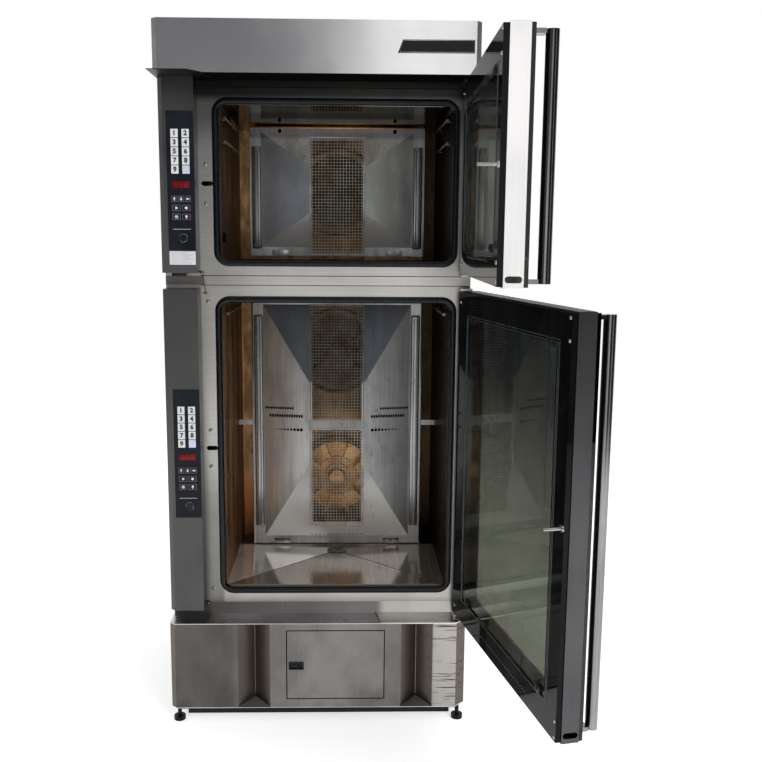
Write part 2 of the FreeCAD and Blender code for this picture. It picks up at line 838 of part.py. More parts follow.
def insulation(decks):
    """Mineral wool slabs round both chambers."""
    slabs = []
    t = d.cavity_wall
    thick = d.insulation_thickness
    left = OPENING_LEFT - t
    right = OPENING_RIGHT + t
    run = (FRAME + d.insulation_setback, CAVITY_BACK + t)
    for floor, roof, levels, drained in decks:
        low = floor - t
        high = roof + t
        bottom = box((left - thick, right + thick), run, (low - thick, low))
        if drained:
            radius = d.pipe_radius + d.pipe_clearance
            bottom = cut(bottom, cylinder(MIDDLE, DRAIN_Y, low - thick * 2, radius, thick * 3))
        back = box((left, right), (run[1], INSULATION_BACK), (low, high))
        slabs += [
            bottom,
            box((left - thick, right + thick), run, (high, high + thick)),
            box((left - thick, left), run, (low, high)),
            box((right, right + thick), run, (low, high)),
            cut(back, *shaft_holes(levels, run[1] - thick, thick * 3)),
        ]
    node("insulation", *slabs)


def door_seal(label, sill, head):
    """A rubber ring with round corners on the face of the frame."""
    body = doc.addObject("PartDesign::Body", "ring")
    sketch = new_sketch(body, "XZ_Plane", -FRAME)
    grow = d.seal_width
    across = (OPENING_LEFT - grow, OPENING_RIGHT + grow)
    rounded_rectangle(sketch, across, (sill - grow, head + grow), d.seal_corner)
    rounded_rectangle(sketch, (OPENING_LEFT, OPENING_RIGHT), (sill, head), d.seal_corner - grow)
    pad(body, sketch, d.door_gap - d.seal_clearance)
    node(label, body)


def fan_baffle(label, sill, head, roof, ridge_height, windows, brackets):
    """The sheet in front of a fan: a shallow hipped form with windows in its ridge, on posts."""
    t = d.baffle_sheet
    low = sill + d.baffle_edge_gap
    high = roof - d.roof_fall - d.baffle_edge_gap
    middle = (sill + head) / 2
    across = (MIDDLE - BAFFLE_HALF, MIDDLE + BAFFLE_HALF)
    plate = box(across, (BAFFLE, BAFFLE + t), (low, high))

    def hip(shrink):
        ridge_half = d.grille_half_width + d.ridge_rim - shrink
        foot_half = BAFFLE_HALF - d.hip_side_margin - shrink
        ridge_x = (MIDDLE - ridge_half, MIDDLE + ridge_half)
        ridge_z = (middle - ridge_height / 2 + shrink, middle + ridge_height / 2 - shrink)
        foot_x = (MIDDLE - foot_half, MIDDLE + foot_half)
        foot_z = (sill + d.hip_margin + shrink, head - d.hip_margin - shrink)
        return wedge(ridge_x, (RIDGE + shrink, BAFFLE + shrink), ridge_z, foot_x, foot_z)

    rim = d.window_rim
    openings = []
    for foot, height in windows:
        openings.append(box(
            (MIDDLE - d.grille_half_width + rim, MIDDLE + d.grille_half_width - rim),
            (RIDGE - t, BAFFLE + t),
            (foot + rim, foot + height - rim),
        ))
    pieces = [cut(fuse(plate, hip(ZERO)), hip(t), *openings)]
    for side in (-1, 1):
        x = MIDDLE + side * (BAFFLE_HALF - d.post_inset)
        for z in (low + d.post_inset, high - d.post_inset):
            pieces.append(cylinder(x, BAFFLE + t, z, d.post_radius, CAVITY_BACK - BAFFLE - t, TO_BACK))
    if brackets:
        bracket_z = (middle - d.bracket_height / 2, middle + d.bracket_height / 2)
        bracket_y = (BAFFLE, BAFFLE + t)
        pieces.append(box((OPENING_LEFT, MIDDLE - BAFFLE_HALF), bracket_y, bracket_z))
        pieces.append(box((MIDDLE + BAFFLE_HALF, OPENING_RIGHT), bracket_y, bracket_z))
    node(label, *pieces)


def mesh_panel(foot, height):
    """A flat wire guard on a baffle's ridge, as one holed sheet."""
    bar = d.grille_bar.value
    width = d.grille_half_width.value * 2
    rows = max(1, int(height.value // MESH_ROW_PITCH))
    step_x = (width - bar) / MESH_COLUMNS
    step_z = (height.value - bar) / rows

    def loop(x, z, dx, dz):
        points = [Vector(x, 0, z), Vector(x + dx, 0, z), Vector(x + dx, 0, z + dz), Vector(x, 0, z + dz)]
        return Part.makePolygon(points + points[:1])

    loops = [loop(0, 0, width, height.value)]
    for column in range(MESH_COLUMNS):
        for row_index in range(rows):
            loops.append(loop(bar + column * step_x, bar + row_index * step_z, step_x - bar, step_z - bar))
    holed = Part.makeFace(loops, "Part::FaceMakerBullseye")
    guard = doc.addObject("Part::Feature", "mesh")
    guard.Shape = holed.extrude(Vector(0, d.grille_sheet.value, 0))
    put(guard, MIDDLE - d.grille_half_width, RIDGE - d.grille_sheet, foot)
    return guard


def fan(label, level):
    """An impeller: back disc, hub, straight blades and the shaft into the motor."""
    disc_y = CAVITY_BACK - d.fan_back_gap
    disc = cylinder(MIDDLE, disc_y, level, d.fan_radius, d.fan_disc, TO_BACK)
    hub = cylinder(MIDDLE, disc_y - d.hub_depth, level, d.hub_radius, d.hub_depth, TO_BACK)
    shaft_end = INSULATION_BACK + d.shaft_grip - d.shaft_clearance
    shaft = cylinder(MIDDLE, disc_y, level, d.shaft_radius, shaft_end - disc_y, TO_BACK)
    blades = []
    for index in range(BLADE_COUNT):
        blade = doc.addObject("Part::Box", "blade")
        bind(blade, Length=d.blade_length, Width=d.blade_depth, Height=d.blade_sheet)
        turn = index * 360 / BLADE_COUNT
        blade.Placement = Placement(Vector(), Rotation(Vector(0, 1, 0), turn))
        swing = Rotation(Vector(0, 1, 0), turn)
        arm = swing.multVec(Vector(1, 0, 0))
        lift = swing.multVec(Vector(0, 0, 1))
        reach = d.fan_radius - d.blade_length - d.fan_disc / 2
        put(blade, MIDDLE + reach * arm.x - d.blade_sheet / 2 * lift.x, disc_y - d.blade_depth,
            level + reach * arm.z - d.blade_sheet / 2 * lift.z)
        blades.append(blade)
    node(label, fuse(disc, hub, shaft, *blades))


def fan_motors(levels):
    """One motor behind the insulation for each fan, bored for its shaft."""
    motors = []
    for level in levels:
        case = cylinder(MIDDLE, INSULATION_BACK, level, d.motor_radius, d.motor_length, TO_BACK)
        bore_radius = d.shaft_radius + d.shaft_clearance
        bore = cylinder(MIDDLE, INSULATION_BACK, level, bore_radius, d.shaft_grip, TO_BACK)
        motors.append(cut(case, bore))
    node("fan_motors", *motors)


def ring_heaters(levels):
    """A ring of tube elements round each fan, standing on legs from the back wall."""
    coils = []
    for level in levels:
        turns = []
        for index in range(HEATER_TURNS):
            y = CAVITY_BACK - d.heater_back_gap - d.heater_pitch * index
            turns.append(torus(MIDDLE, y, level, d.heater_radius, d.heater_tube))
        reach = d.heater_back_gap + d.heater_pitch * (HEATER_TURNS - 1)
        for side in (-1, 1):
            turns.append(cylinder(MIDDLE + side * d.heater_radius, CAVITY_BACK - reach, level,
                                  d.heater_tube, reach, TO_BACK))
        coils.append(fuse(*turns))
    node("ring_heaters", *coils)


def rack_rails():
    """Bars along both side walls of each chamber, near its top, on short stays."""
    pieces = []
    for head, count in ((LOWER_HEAD, 1), (UPPER_HEAD, 2)):
        for index in range(count):
            z = head - d.rail_drop - d.rail_spacing * index
            start = FRAME + d.rail_front_gap
            length = BAFFLE - d.rail_back_gap - start
            for side, wall in ((1, OPENING_LEFT), (-1, OPENING_RIGHT)):
                x = wall + side * d.rail_inset
                rail = cylinder(x, start, z, d.rail_radius, length, TO_BACK)
                low = wall if side > 0 else wall - d.rail_inset
                stays = [cylinder(low, start + offset, z, d.rail_stay_radius, d.rail_inset, TO_RIGHT)
                         for offset in (d.rail_stay_inset, length - d.rail_stay_inset)]
                pieces.append(fuse(rail, *stays))
    node("rack_rails", *pieces)


def steam_fittings():
    """The nozzle in the upper chamber's left wall."""
    nozzle_y = FRAME + d.steam_nozzle_reach
    nozzle_z = UPPER_SILL + d.steam_nozzle_lift
    length = d.steam_nozzle_length
    collar = cylinder(OPENING_LEFT, nozzle_y, nozzle_z, d.steam_nozzle_radius, length, TO_RIGHT)
    bore = cylinder(OPENING_LEFT, nozzle_y, nozzle_z, d.steam_nozzle_bore, length, TO_RIGHT)
    node("steam_fittings", cut(collar, bore))


def floor_and_drain():
    """The lower floor pan that falls to a strainer, and the pipe out through the rear."""
    floor = LOWER_FLOOR
    top = floor + d.floor_pan_depth
    front = FRAME_BACK + d.floor_pan_front_gap
    back = BAFFLE - d.floor_pan_back_gap
    rim = d.floor_pan_rim
    pan = box((OPENING_LEFT, OPENING_RIGHT), (front, back), (floor, top))
    dish = doc.addObject("Part::Wedge", "dish")
    dish.Placement = Placement(Vector(), STAND_UP)
    bottom = top - d.floor_pan_fall
    bind(dish, Ymin=bottom, Ymax=top)
    bind(dish, Xmin=MIDDLE - d.drain_radius, Xmax=MIDDLE + d.drain_radius)
    bind(dish, Zmin=-DRAIN_Y - d.drain_radius, Zmax=-DRAIN_Y + d.drain_radius)
    bind(dish, X2min=OPENING_LEFT + rim, X2max=OPENING_RIGHT - rim, Z2min=rim - back, Z2max=-front - rim)
    hole = cylinder(MIDDLE, DRAIN_Y, floor, d.pipe_radius - d.pipe_wall, d.floor_pan_depth)
    node("lower_floor_pan", cut(pan, dish, hole))

    disc = cylinder(MIDDLE, DRAIN_Y, bottom, d.drain_radius, d.strainer_sheet)
    bore = d.pipe_radius - d.pipe_wall
    slots = [box((MIDDLE + shift - d.strainer_sheet / 2, MIDDLE + shift + d.strainer_sheet / 2),
                 (DRAIN_Y - bore / 2, DRAIN_Y + bore / 2), (bottom, bottom + d.strainer_sheet))
             for shift in (-bore / 2, ZERO, bore / 2)]
    strainer = cut(disc, *slots)

    tail = REAR + d.pipe_tail
    drop = floor - PIPE_LEVEL
    outer = fuse(
        cylinder(MIDDLE, DRAIN_Y, PIPE_LEVEL - d.pipe_radius, d.pipe_radius, drop + d.pipe_radius),
        cylinder(MIDDLE, DRAIN_Y, PIPE_LEVEL, d.pipe_radius, REAR - DRAIN_Y, TO_BACK),
        cylinder(MIDDLE, REAR, PIPE_LEVEL, d.tail_radius, d.pipe_tail, TO_BACK),
    )
    pipe = cut(
        outer,
        cylinder(MIDDLE, DRAIN_Y, PIPE_LEVEL, bore, drop),
        cylinder(MIDDLE, DRAIN_Y, PIPE_LEVEL, bore, tail - DRAIN_Y, TO_BACK),
    )
    node("drain", strainer, pipe)


def control_column(label, foot, head, panel_top):
    """A bent sheet box beside the door, with the hole for its switch."""
    t = d.column_sheet

    def plan(inset):
        ease = inset * BEVEL_EASE
        return [
            (LEFT + inset, FRAME),
            (LEFT + inset, COLUMN_FRONT + d.column_bevel + ease),
            (LEFT + d.column_bevel + ease, COLUMN_FRONT + inset),
            (COLUMN_RIGHT - inset, COLUMN_FRONT + inset),
            (COLUMN_RIGHT - inset, FRAME),
        ]

    shell = bent_sheet(plan(ZERO), plan(t), foot + t, head - t)
    hole = cylinder(PANEL_MIDDLE + d.switch_offset, COLUMN_FRONT - t, panel_top - d.switch_drop,
                    d.bushing_radius, t * 3, TO_BACK)
    node(label, cut(shell, hole), prism(plan(ZERO), foot, foot + t), prism(plan(ZERO), head - t, head))


def control_panels():
    """The two keyboards: face plates, key pads, displays, switch bushings and turning switches."""
    plates = []
    pads = []
    displays = []
    for deck, top in (("lower", LOWER_PANEL_TOP), ("upper", UPPER_PANEL_TOP)):
        x = PANEL_MIDDLE
        face = (PANEL_FRONT - d.key_sheet, PANEL_FRONT)
        plate = box((x - d.panel_width / 2, x + d.panel_width / 2), (PANEL_FRONT, COLUMN_FRONT),
                    (top - d.panel_height, top))
        switch_x = x + d.switch_offset
        switch_z = top - d.switch_drop
        plate_hole = cylinder(switch_x, PANEL_FRONT, switch_z, d.bushing_radius, d.panel_sheet, TO_BACK)
        plates.append(cut(plate, plate_hole))
        bushing = cylinder(switch_x, PANEL_FRONT, switch_z, d.bushing_radius, d.bushing_length, TO_BACK)
        stem_bore = cylinder(switch_x, PANEL_FRONT, switch_z, d.switch_stem_radius + d.switch_clearance,
                             d.bushing_length, TO_BACK)
        plates.append(cut(bushing, stem_bore))

        def key(across, drop, width, height):
            edges = (x + across - width / 2, x + across + width / 2)
            return box(edges, face, (top - drop - height, top - drop))

        for key_row in range(KEY_ROWS):
            for side in (-1, 1):
                pads.append(key(side * d.key_column_pitch / 2, d.key_top_drop + d.key_row_pitch * key_row,
                                d.key_width, d.key_height))
        for index in range(ARROW_KEYS):
            shift = index - (ARROW_KEYS - 1) / 2
            pads.append(key(shift * d.arrow_pitch, d.arrow_drop, d.arrow_key_width, d.arrow_key_height))
        for key_row in range(FUNCTION_ROWS):
            for side in (-1, 1):
                pads.append(key(side * d.function_pitch / 2, d.function_drop + d.function_row_pitch * key_row,
                                d.function_key_width, d.function_key_height))
        displays.append(key(ZERO, d.display_drop, d.display_width, d.display_height))
        cap_y = PANEL_FRONT - d.switch_gap - d.switch_depth
        cap = cylinder(switch_x, cap_y, switch_z, d.switch_radius, d.switch_depth, TO_BACK)
        stem = cylinder(switch_x, cap_y, switch_z, d.switch_stem_radius,
                        d.switch_depth + d.switch_stem_length, TO_BACK)
        half = d.key_sheet / 2
        mark = box((switch_x - half, switch_x + half), (cap_y - d.key_sheet, cap_y),
                   (switch_z, switch_z + d.switch_radius))
        node(f"{deck}_switch", fuse(cap, stem, mark))
    node("control_panels", *plates)
    node("control_keys", *pads)
    node("displays", *displays)


def control_boards():
    """A circuit board in each column, on spacers from the column's front."""
    pieces = []
    x = PANEL_MIDDLE
    back = COLUMN_FRONT + d.column_sheet
    front = back + d.board_gap
    for top in (LOWER_PANEL_TOP, UPPER_PANEL_TOP):
        z = (top - d.panel_height + d.board_margin, top - d.board_margin / 2)
        pieces.append(box((x - d.board_width / 2, x + d.board_width / 2), (front, front + d.board_sheet), z))
        for level in (z[0] + d.board_margin / 4, z[1] - d.board_margin / 4):
            pieces.append(cylinder(x, back, level, d.board_spacer_radius, d.board_gap, TO_BACK))
    node("control_boards", *pieces)


def hood():
    """An inverted steel tray over the whole oven, its soffit, a steam spigot and the left visor."""
    def plan(inset):
        ease = inset * BEVEL_EASE
        front = FRAME - d.hood_reach
        return [
            (LEFT + inset, REAR - inset),
            (LEFT + inset, front + d.hood_bevel + ease),
            (LEFT + d.hood_bevel + ease, front + inset),
            (RIGHT - d.hood_bevel - ease, front + inset),
            (RIGHT - inset, front + d.hood_bevel + ease),
            (RIGHT - inset, REAR - inset),
        ]

    t = d.hood_sheet
    shell = cut(prism(plan(ZERO), HOOD_FOOT, HOOD_TOP), prism(plan(t), HOOD_FOOT, HOOD_TOP - t))
    spigot_y = REAR - d.spigot_rear_inset
    inner = d.spigot_radius - d.spigot_wall
    mouth = cylinder(ZERO, spigot_y, HOOD_TOP - t * 2, inner, t * 3)
    tube = cylinder(ZERO, spigot_y, HOOD_TOP, d.spigot_radius, d.spigot_height)
    bore = cylinder(ZERO, spigot_y, HOOD_TOP, inner, d.spigot_height)
    node("hood", cut(shell, mouth), cut(tube, bore))

    front = FRAME - d.hood_reach
    ease = t * BEVEL_EASE
    soffit = [
        (LEFT + t, FRAME),
        (LEFT + t, front + d.hood_bevel + ease),
        (LEFT + d.hood_bevel + ease, front + t),
        (RIGHT - d.hood_bevel - ease, front + t),
        (RIGHT - t, front + d.hood_bevel + ease),
        (RIGHT - t, FRAME),
    ]
    node("hood_soffit", prism(soffit, HOOD_FOOT, HOOD_FOOT + t))

    left = LEFT - d.visor_overlap
    front = FRAME - d.visor_reach
    right = left + d.visor_width
    visor = [
        (left, FRAME),
        (left, front),
        (right, front),
        (right + d.visor_taper, FRAME - d.hood_reach),
        (COLUMN_RIGHT, FRAME),
    ]
    node("column_visor", prism(visor, HOOD_FOOT - d.casing_sheet, HOOD_FOOT))


def door(deck, foot, head, angle, latch):
    """One glazed door, drawn closed about its pivot and hung open."""
    free = -DOOR_WIDTH
    hinge_edge = d.door_pivot_inset
    inner = d.door_pivot_reach - d.door_gap
    steel_in = inner - d.inner_frame_depth
    steel_out = steel_in - d.door_steel_depth
    glass_out = steel_out - d.outer_glass_sheet
    bar_in = glass_out - d.handle_gap
    bar_out = bar_in - d.handle_depth
    width = d.stile_width
    wall = d.stile_wall
    steel_y = (steel_out, steel_in)
    hollow_y = (steel_out + wall, steel_in - wall)

    slot = stadium_on_edge(free, (steel_out + steel_in) / 2, foot + d.stile_slot_lift, wall)
    free_stile = cut(
        box((free, free + width), steel_y, (foot, head)),
        box((free + wall, free + width), hollow_y, (foot + wall, head - wall)),
        slot,
    )
    bore = d.hinge_pin_radius + d.hinge_clearance
    bore_length = d.hinge_pin_length + d.hinge_clearance
    hinge_stile = cut(
        box((hinge_edge - width, hinge_edge), steel_y, (foot, head)),
        box((hinge_edge - width, hinge_edge - wall), hollow_y, (foot + d.stile_block, head - d.stile_block)),
        cylinder(ZERO, ZERO, foot, bore, bore_length),
        cylinder(ZERO, ZERO, head - bore_length, bore, bore_length),
    )
    rail_x = (free + width, hinge_edge - width)
    top_rail = cut(
        box(rail_x, steel_y, (head - width, head)),
        box(rail_x, hollow_y, (head - width, head - wall)),
    )
    bottom_rail = cut(
        box(rail_x, steel_y, (foot, foot + width)),
        box(rail_x, hollow_y, (foot + wall, foot + width)),
    )
    hang(node(f"{deck}_door_frame", free_stile, hinge_stile, top_rail, bottom_rail), angle)

    margin = d.inner_frame_margin
    rail = d.inner_frame_rail
    x = (free + margin, hinge_edge - margin)
    z = (foot + margin, head - margin)
    layer = (steel_in, inner)
    hang(node(
        f"{deck}_door_inner_frame",
        box((x[0], x[0] + rail), layer, z),
        box((x[1] - rail, x[1]), layer, z),
        box((x[0] + rail, x[1] - rail), layer, (z[0], z[0] + rail)),
        box((x[0] + rail, x[1] - rail), layer, (z[1] - rail, z[1])),
    ), angle)

    pane_back = inner - d.inner_glass_setback
    pane_y = (pane_back - d.inner_glass_sheet, pane_back)
    pane = box((x[0] + rail, x[1] - rail), pane_y, (z[0] + rail, z[1] - rail))
    hang(node(f"{deck}_inner_glass", pane), angle)

    edge = d.outer_glass_margin
    cover = box((free + edge, hinge_edge - edge), (glass_out, steel_out), (foot + edge, head - edge))
    hang(node(f"{deck}_outer_glass", cover), angle)

    bar_x = (free + d.handle_edge_inset, free + d.handle_edge_inset + d.handle_width)
    bar_foot = foot + d.handle_end_drop
    bar_head = head - d.handle_end_drop
    bar = doc.addObject("PartDesign::Body", "bar_profile")
    sketch = new_sketch(bar, "XY_Plane", bar_foot)
    rounded_rectangle(sketch, bar_x, (bar_out, bar_in), d.handle_corner)
    pad(bar, sketch, bar_head - bar_foot)
    block = (bar_in, glass_out)
    low_foot = box(bar_x, block, (bar_foot, bar_foot + d.handle_foot_height))
    high_foot = box(bar_x, block, (bar_head - d.handle_foot_height, bar_head))
    hang(node(f"{deck}_door_handle", bar, low_foot, high_foot), angle)

    pin_x = free + d.latch_inset
    pin = cylinder(pin_x, inner, latch, d.latch_radius, d.latch_length, TO_BACK)
    collar = cylinder(pin_x, inner, latch, d.latch_collar_radius, d.latch_collar_length, TO_BACK)
    hang(node(f"{deck}_latch_pin", fuse(pin, collar)), angle)


def stadium_on_edge(x, y, z, depth):
    """The slot with round ends in a free stile's edge, going in along +X from x."""
    half = (d.stile_slot_length - d.stile_slot_width) / 2
    radius = d.stile_slot_width / 2
    straight = box((x, x + depth), (y - half, y + half), (z - radius, z + radius))
    ends = [cylinder(x, y + side * half, z, radius, depth, TO_RIGHT) for side in (-1, 1)]
    return fuse(straight, *ends)


def hinge_brackets():
    """A plate with a pin above and below each door, standing out from the frame."""
    pieces = []
    x = (DOOR_X - d.hinge_plate_width, RIGHT)
    y = (DOOR_Y - d.hinge_plate_front, FRAME)
    gap = d.hinge_plate_gap
    for foot, head in ((LOWER_DOOR_FOOT, LOWER_DOOR_HEAD), (UPPER_DOOR_FOOT, UPPER_DOOR_HEAD)):
        low_plate = box(x, y, (foot - gap - d.hinge_plate, foot - gap))
        reach = gap + d.hinge_pin_length
        low_pin = cylinder(DOOR_X, DOOR_Y, foot - gap, d.hinge_pin_radius, reach)
        thick = d.hinge_plate
        if head is UPPER_DOOR_HEAD:
            thick = d.upper_door_head_gap - gap
        high_plate = box(x, y, (head + gap, head + gap + thick))
        high_pin = cylinder(DOOR_X, DOOR_Y, head + gap - reach, d.hinge_pin_radius, reach)
        pieces.append(fuse(low_plate, low_pin))
        pieces.append(fuse(high_plate, high_pin))
    node("hinge_brackets", *pieces)


def frame_screws(lower_latch, upper_latch):
    """Dome screws on the left of the front frame, beside each latch slot and at the lower corners."""
    x = OPENING_LEFT - d.screw_inset - d.screw_inset
    spread = d.screw_spread
    levels = [lower_latch - spread, lower_latch + spread, upper_latch - spread, upper_latch + spread]
    levels += [LOWER_SILL - d.corner_screw_drop, LOWER_HEAD + d.corner_screw_drop]
    heads = [cylinder(x, FRAME - d.screw_head, level, d.screw_radius, d.screw_head, TO_BACK)
             for level in levels]
    node("frame_screws", *heads)


def rear_connections():
    """The water inlet nipple and the cable gland on the rear of the base."""
    start = REAR
    x = INLET_X
    flange = cylinder(x, start, CONNECTION_Z, d.inlet_flange_radius, d.inlet_flange, TO_BACK)
    nipple = cylinder(x, start - d.casing_sheet, CONNECTION_Z, d.inlet_radius,
                      d.inlet_flange + d.inlet_length + d.casing_sheet, TO_BACK)
    bore = cylinder(x, start - d.casing_sheet, CONNECTION_Z, d.inlet_bore,
                    d.inlet_flange + d.inlet_length + d.casing_sheet, TO_BACK)
    node("water_inlet", cut(fuse(flange, nipple), bore))
    gland = cylinder(GLAND_X, start, CONNECTION_Z, d.gland_radius, d.gland_length, TO_BACK)
    gland_bore = cylinder(GLAND_X, start, CONNECTION_Z, d.gland_bore, d.gland_length, TO_BACK)
    node("cable_gland", cut(gland, gland_bore))


def build():
    lower_fans = fan_levels(LOWER_SILL, LOWER_ROOF, True)
    upper_fans = fan_levels(UPPER_SILL, UPPER_ROOF, False)
    lower_latch = LOWER_SILL + d.lower_latch_lift
    upper_latch = UPPER_SILL + d.upper_latch_lift
    bottom_grille = (LOWER_SILL + d.lower_grille_lift, d.lower_grille_split - d.lower_grille_lift)
    middle_foot = LOWER_SILL + d.lower_grille_split + d.grille_spacing
    middle_grille = (middle_foot, LOWER_HEAD - d.lower_grille_drop - middle_foot)
    top_foot = UPPER_SILL + d.upper_grille_lift
    top_grille = (top_foot, UPPER_HEAD - d.upper_grille_drop - top_foot)
    lower_deck = (LOWER_FLOOR, LOWER_ROOF, lower_fans, True)
    upper_deck = (UPPER_FLOOR, UPPER_ROOF, upper_fans, False)

    plinth()
    levelling_feet()
    base_front()
    base_plates()
    base_hatch()
    side_panel("left_side_panel", LEFT, LEFT + d.casing_sheet, d.base_bevel_left)
    side_panel("right_side_panel", RIGHT, RIGHT - d.casing_sheet, d.base_bevel_right)
    rear_panel()
    top_panel()
    front_frame("lower_front_frame", LOWER_SILL, LOWER_HEAD, BASE_TOP, MID_STRIP, lower_latch)
    front_frame("upper_front_frame", UPPER_SILL, UPPER_HEAD, MID_STRIP, FRAME_TOP, upper_latch)
    trim_strips()
    cavity("lower_cavity", *lower_deck)
    cavity("upper_cavity", *upper_deck)
    insulation((lower_deck, upper_deck))
    door_seal("lower_door_seal", LOWER_SILL, LOWER_HEAD)
    door_seal("upper_door_seal", UPPER_SILL, UPPER_HEAD)
    fan_baffle("lower_fan_baffle", LOWER_SILL, LOWER_HEAD, LOWER_ROOF, d.lower_ridge_height,
               (bottom_grille, middle_grille), True)
    fan_baffle("upper_fan_baffle", UPPER_SILL, UPPER_HEAD, UPPER_ROOF, d.upper_ridge_height,
               (top_grille,), False)
    node("lower_fan_guards", mesh_panel(*bottom_grille), mesh_panel(*middle_grille))
    node("upper_fan_guard", mesh_panel(*top_grille))
    fan("lower_fan_low", lower_fans[0])
    fan("lower_fan_high", lower_fans[1])
    fan("upper_fan", upper_fans[0])
    fan_motors(lower_fans + upper_fans)
    ring_heaters(lower_fans + upper_fans)
    rack_rails()
    steam_fittings()
    floor_and_drain()
    control_column("lower_control_column", LOWER_COLUMN_FOOT, LOWER_COLUMN_HEAD, LOWER_PANEL_TOP)
    control_column("upper_control_column", UPPER_COLUMN_FOOT, UPPER_COLUMN_HEAD, UPPER_PANEL_TOP)
    control_panels()
    control_boards()
    hood()
    door("lower", LOWER_DOOR_FOOT, LOWER_DOOR_HEAD, d.lower_door_angle, lower_latch)
    door("upper", UPPER_DOOR_FOOT, UPPER_DOOR_HEAD, d.upper_door_angle, upper_latch)
    hinge_brackets()
    frame_screws(lower_latch, upper_latch)
    rear_connections()


def check():
    """Stop if any object failed or any sub-part has no valid shape."""
    doc.recompute()
    for thing in doc.Objects:
        if "Invalid" in thing.State or "Error" in thing.State:
            raise RuntimeError(f"{thing.Label} ({thing.Name}) failed: {thing.State}")
    for part in nodes:
        if part.Shape.isNull() or not part.Shape.isValid() or not part.Shape.Solids:
            raise RuntimeError(f"{part.Label} has no valid solid")


def export():
    os.makedirs("parts", exist_ok=True)
    for part in nodes:
        part.Shape.exportStep(os.path.join("parts", f"{part.Label}.step"))


build()
check()
export()
print(f"{len(nodes)} sub-parts written")
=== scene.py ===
from math import atan2, copysign, cos, pi, radians, sin, tau
import bmesh
import bpy
from mathutils import Matrix, Vector


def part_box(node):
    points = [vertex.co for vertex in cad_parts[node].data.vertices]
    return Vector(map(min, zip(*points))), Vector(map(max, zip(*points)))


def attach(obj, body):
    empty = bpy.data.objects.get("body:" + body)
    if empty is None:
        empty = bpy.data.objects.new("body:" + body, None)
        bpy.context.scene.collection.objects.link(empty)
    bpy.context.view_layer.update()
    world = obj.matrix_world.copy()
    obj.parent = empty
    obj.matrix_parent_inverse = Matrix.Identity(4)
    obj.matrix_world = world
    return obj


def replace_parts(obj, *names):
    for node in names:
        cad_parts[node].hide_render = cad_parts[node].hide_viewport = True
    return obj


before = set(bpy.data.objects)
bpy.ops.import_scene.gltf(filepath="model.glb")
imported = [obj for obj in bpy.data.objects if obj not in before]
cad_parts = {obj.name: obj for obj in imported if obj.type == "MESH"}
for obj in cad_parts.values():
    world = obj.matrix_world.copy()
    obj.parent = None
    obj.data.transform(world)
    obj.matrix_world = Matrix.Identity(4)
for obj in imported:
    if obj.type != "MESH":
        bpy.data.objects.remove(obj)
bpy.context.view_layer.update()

# Looks of the two-deck convection oven. Pieces are drawn in millimetres in the part's own
# frame: +Z up, the front towards -Y, the origin on the floor under the middle of the cabinet.
# Materials are laid out in the same frame, in metres.
MM = 0.001
ROOT = "oven"
SIDES = (-1, 1)
FORWARD, BACKWARD, UPWARD = (0, -1, 0), (0, 1, 0), (0, 0, 1)

# Levels and places shared by several pieces.
FRAME_Y = -400
BASE_FRONT_Y = -490
CASING_LEFT, CASING_RIGHT = -434, 434
CASING_REAR_Y = 400
BASE_TOP_Z = 308
MIDDLE_X = 50
BAFFLE_Y = -15
RIDGE_Y = -43
GUARD_HALF = 88
BAFFLE_HALF = 281
HOOD_FRONT_Y = -522
PANEL_Y = -465
PANEL_X = -374
PANEL_TOPS = {"lower": 995, "upper": 1759}
DOOR_PIVOT = (425, -435)
DOORS = {
    "lower": {"turn": 101, "foot": 318, "head": 1275, "sill": 386, "lintel": 1237, "dots": 352},
    "upper": {"turn": 88.5, "foot": 1323, "head": 1843, "sill": 1359, "lintel": 1785, "dots": 1375},
}
DOOR_FREE_X = -740
DOOR_INNER_Y = 25
DOOR_GLASS_Y = -39.5
PANE_LEFT, PANE_RIGHT = -672, -79


def rgb(red, green, blue):
    """A display colour, 0 to 255, as the linear colour that a shader takes."""
    def linear(value):
        value = value / 255
        return value / 12.92 if value <= 0.04045 else ((value + 0.055) / 1.055) ** 2.4
    return (linear(red), linear(green), linear(blue), 1.0)


def shade(colour, factor):
    """The same colour, lighter or darker."""
    return tuple(min(1.0, channel * factor) for channel in colour[:3]) + (1.0,)


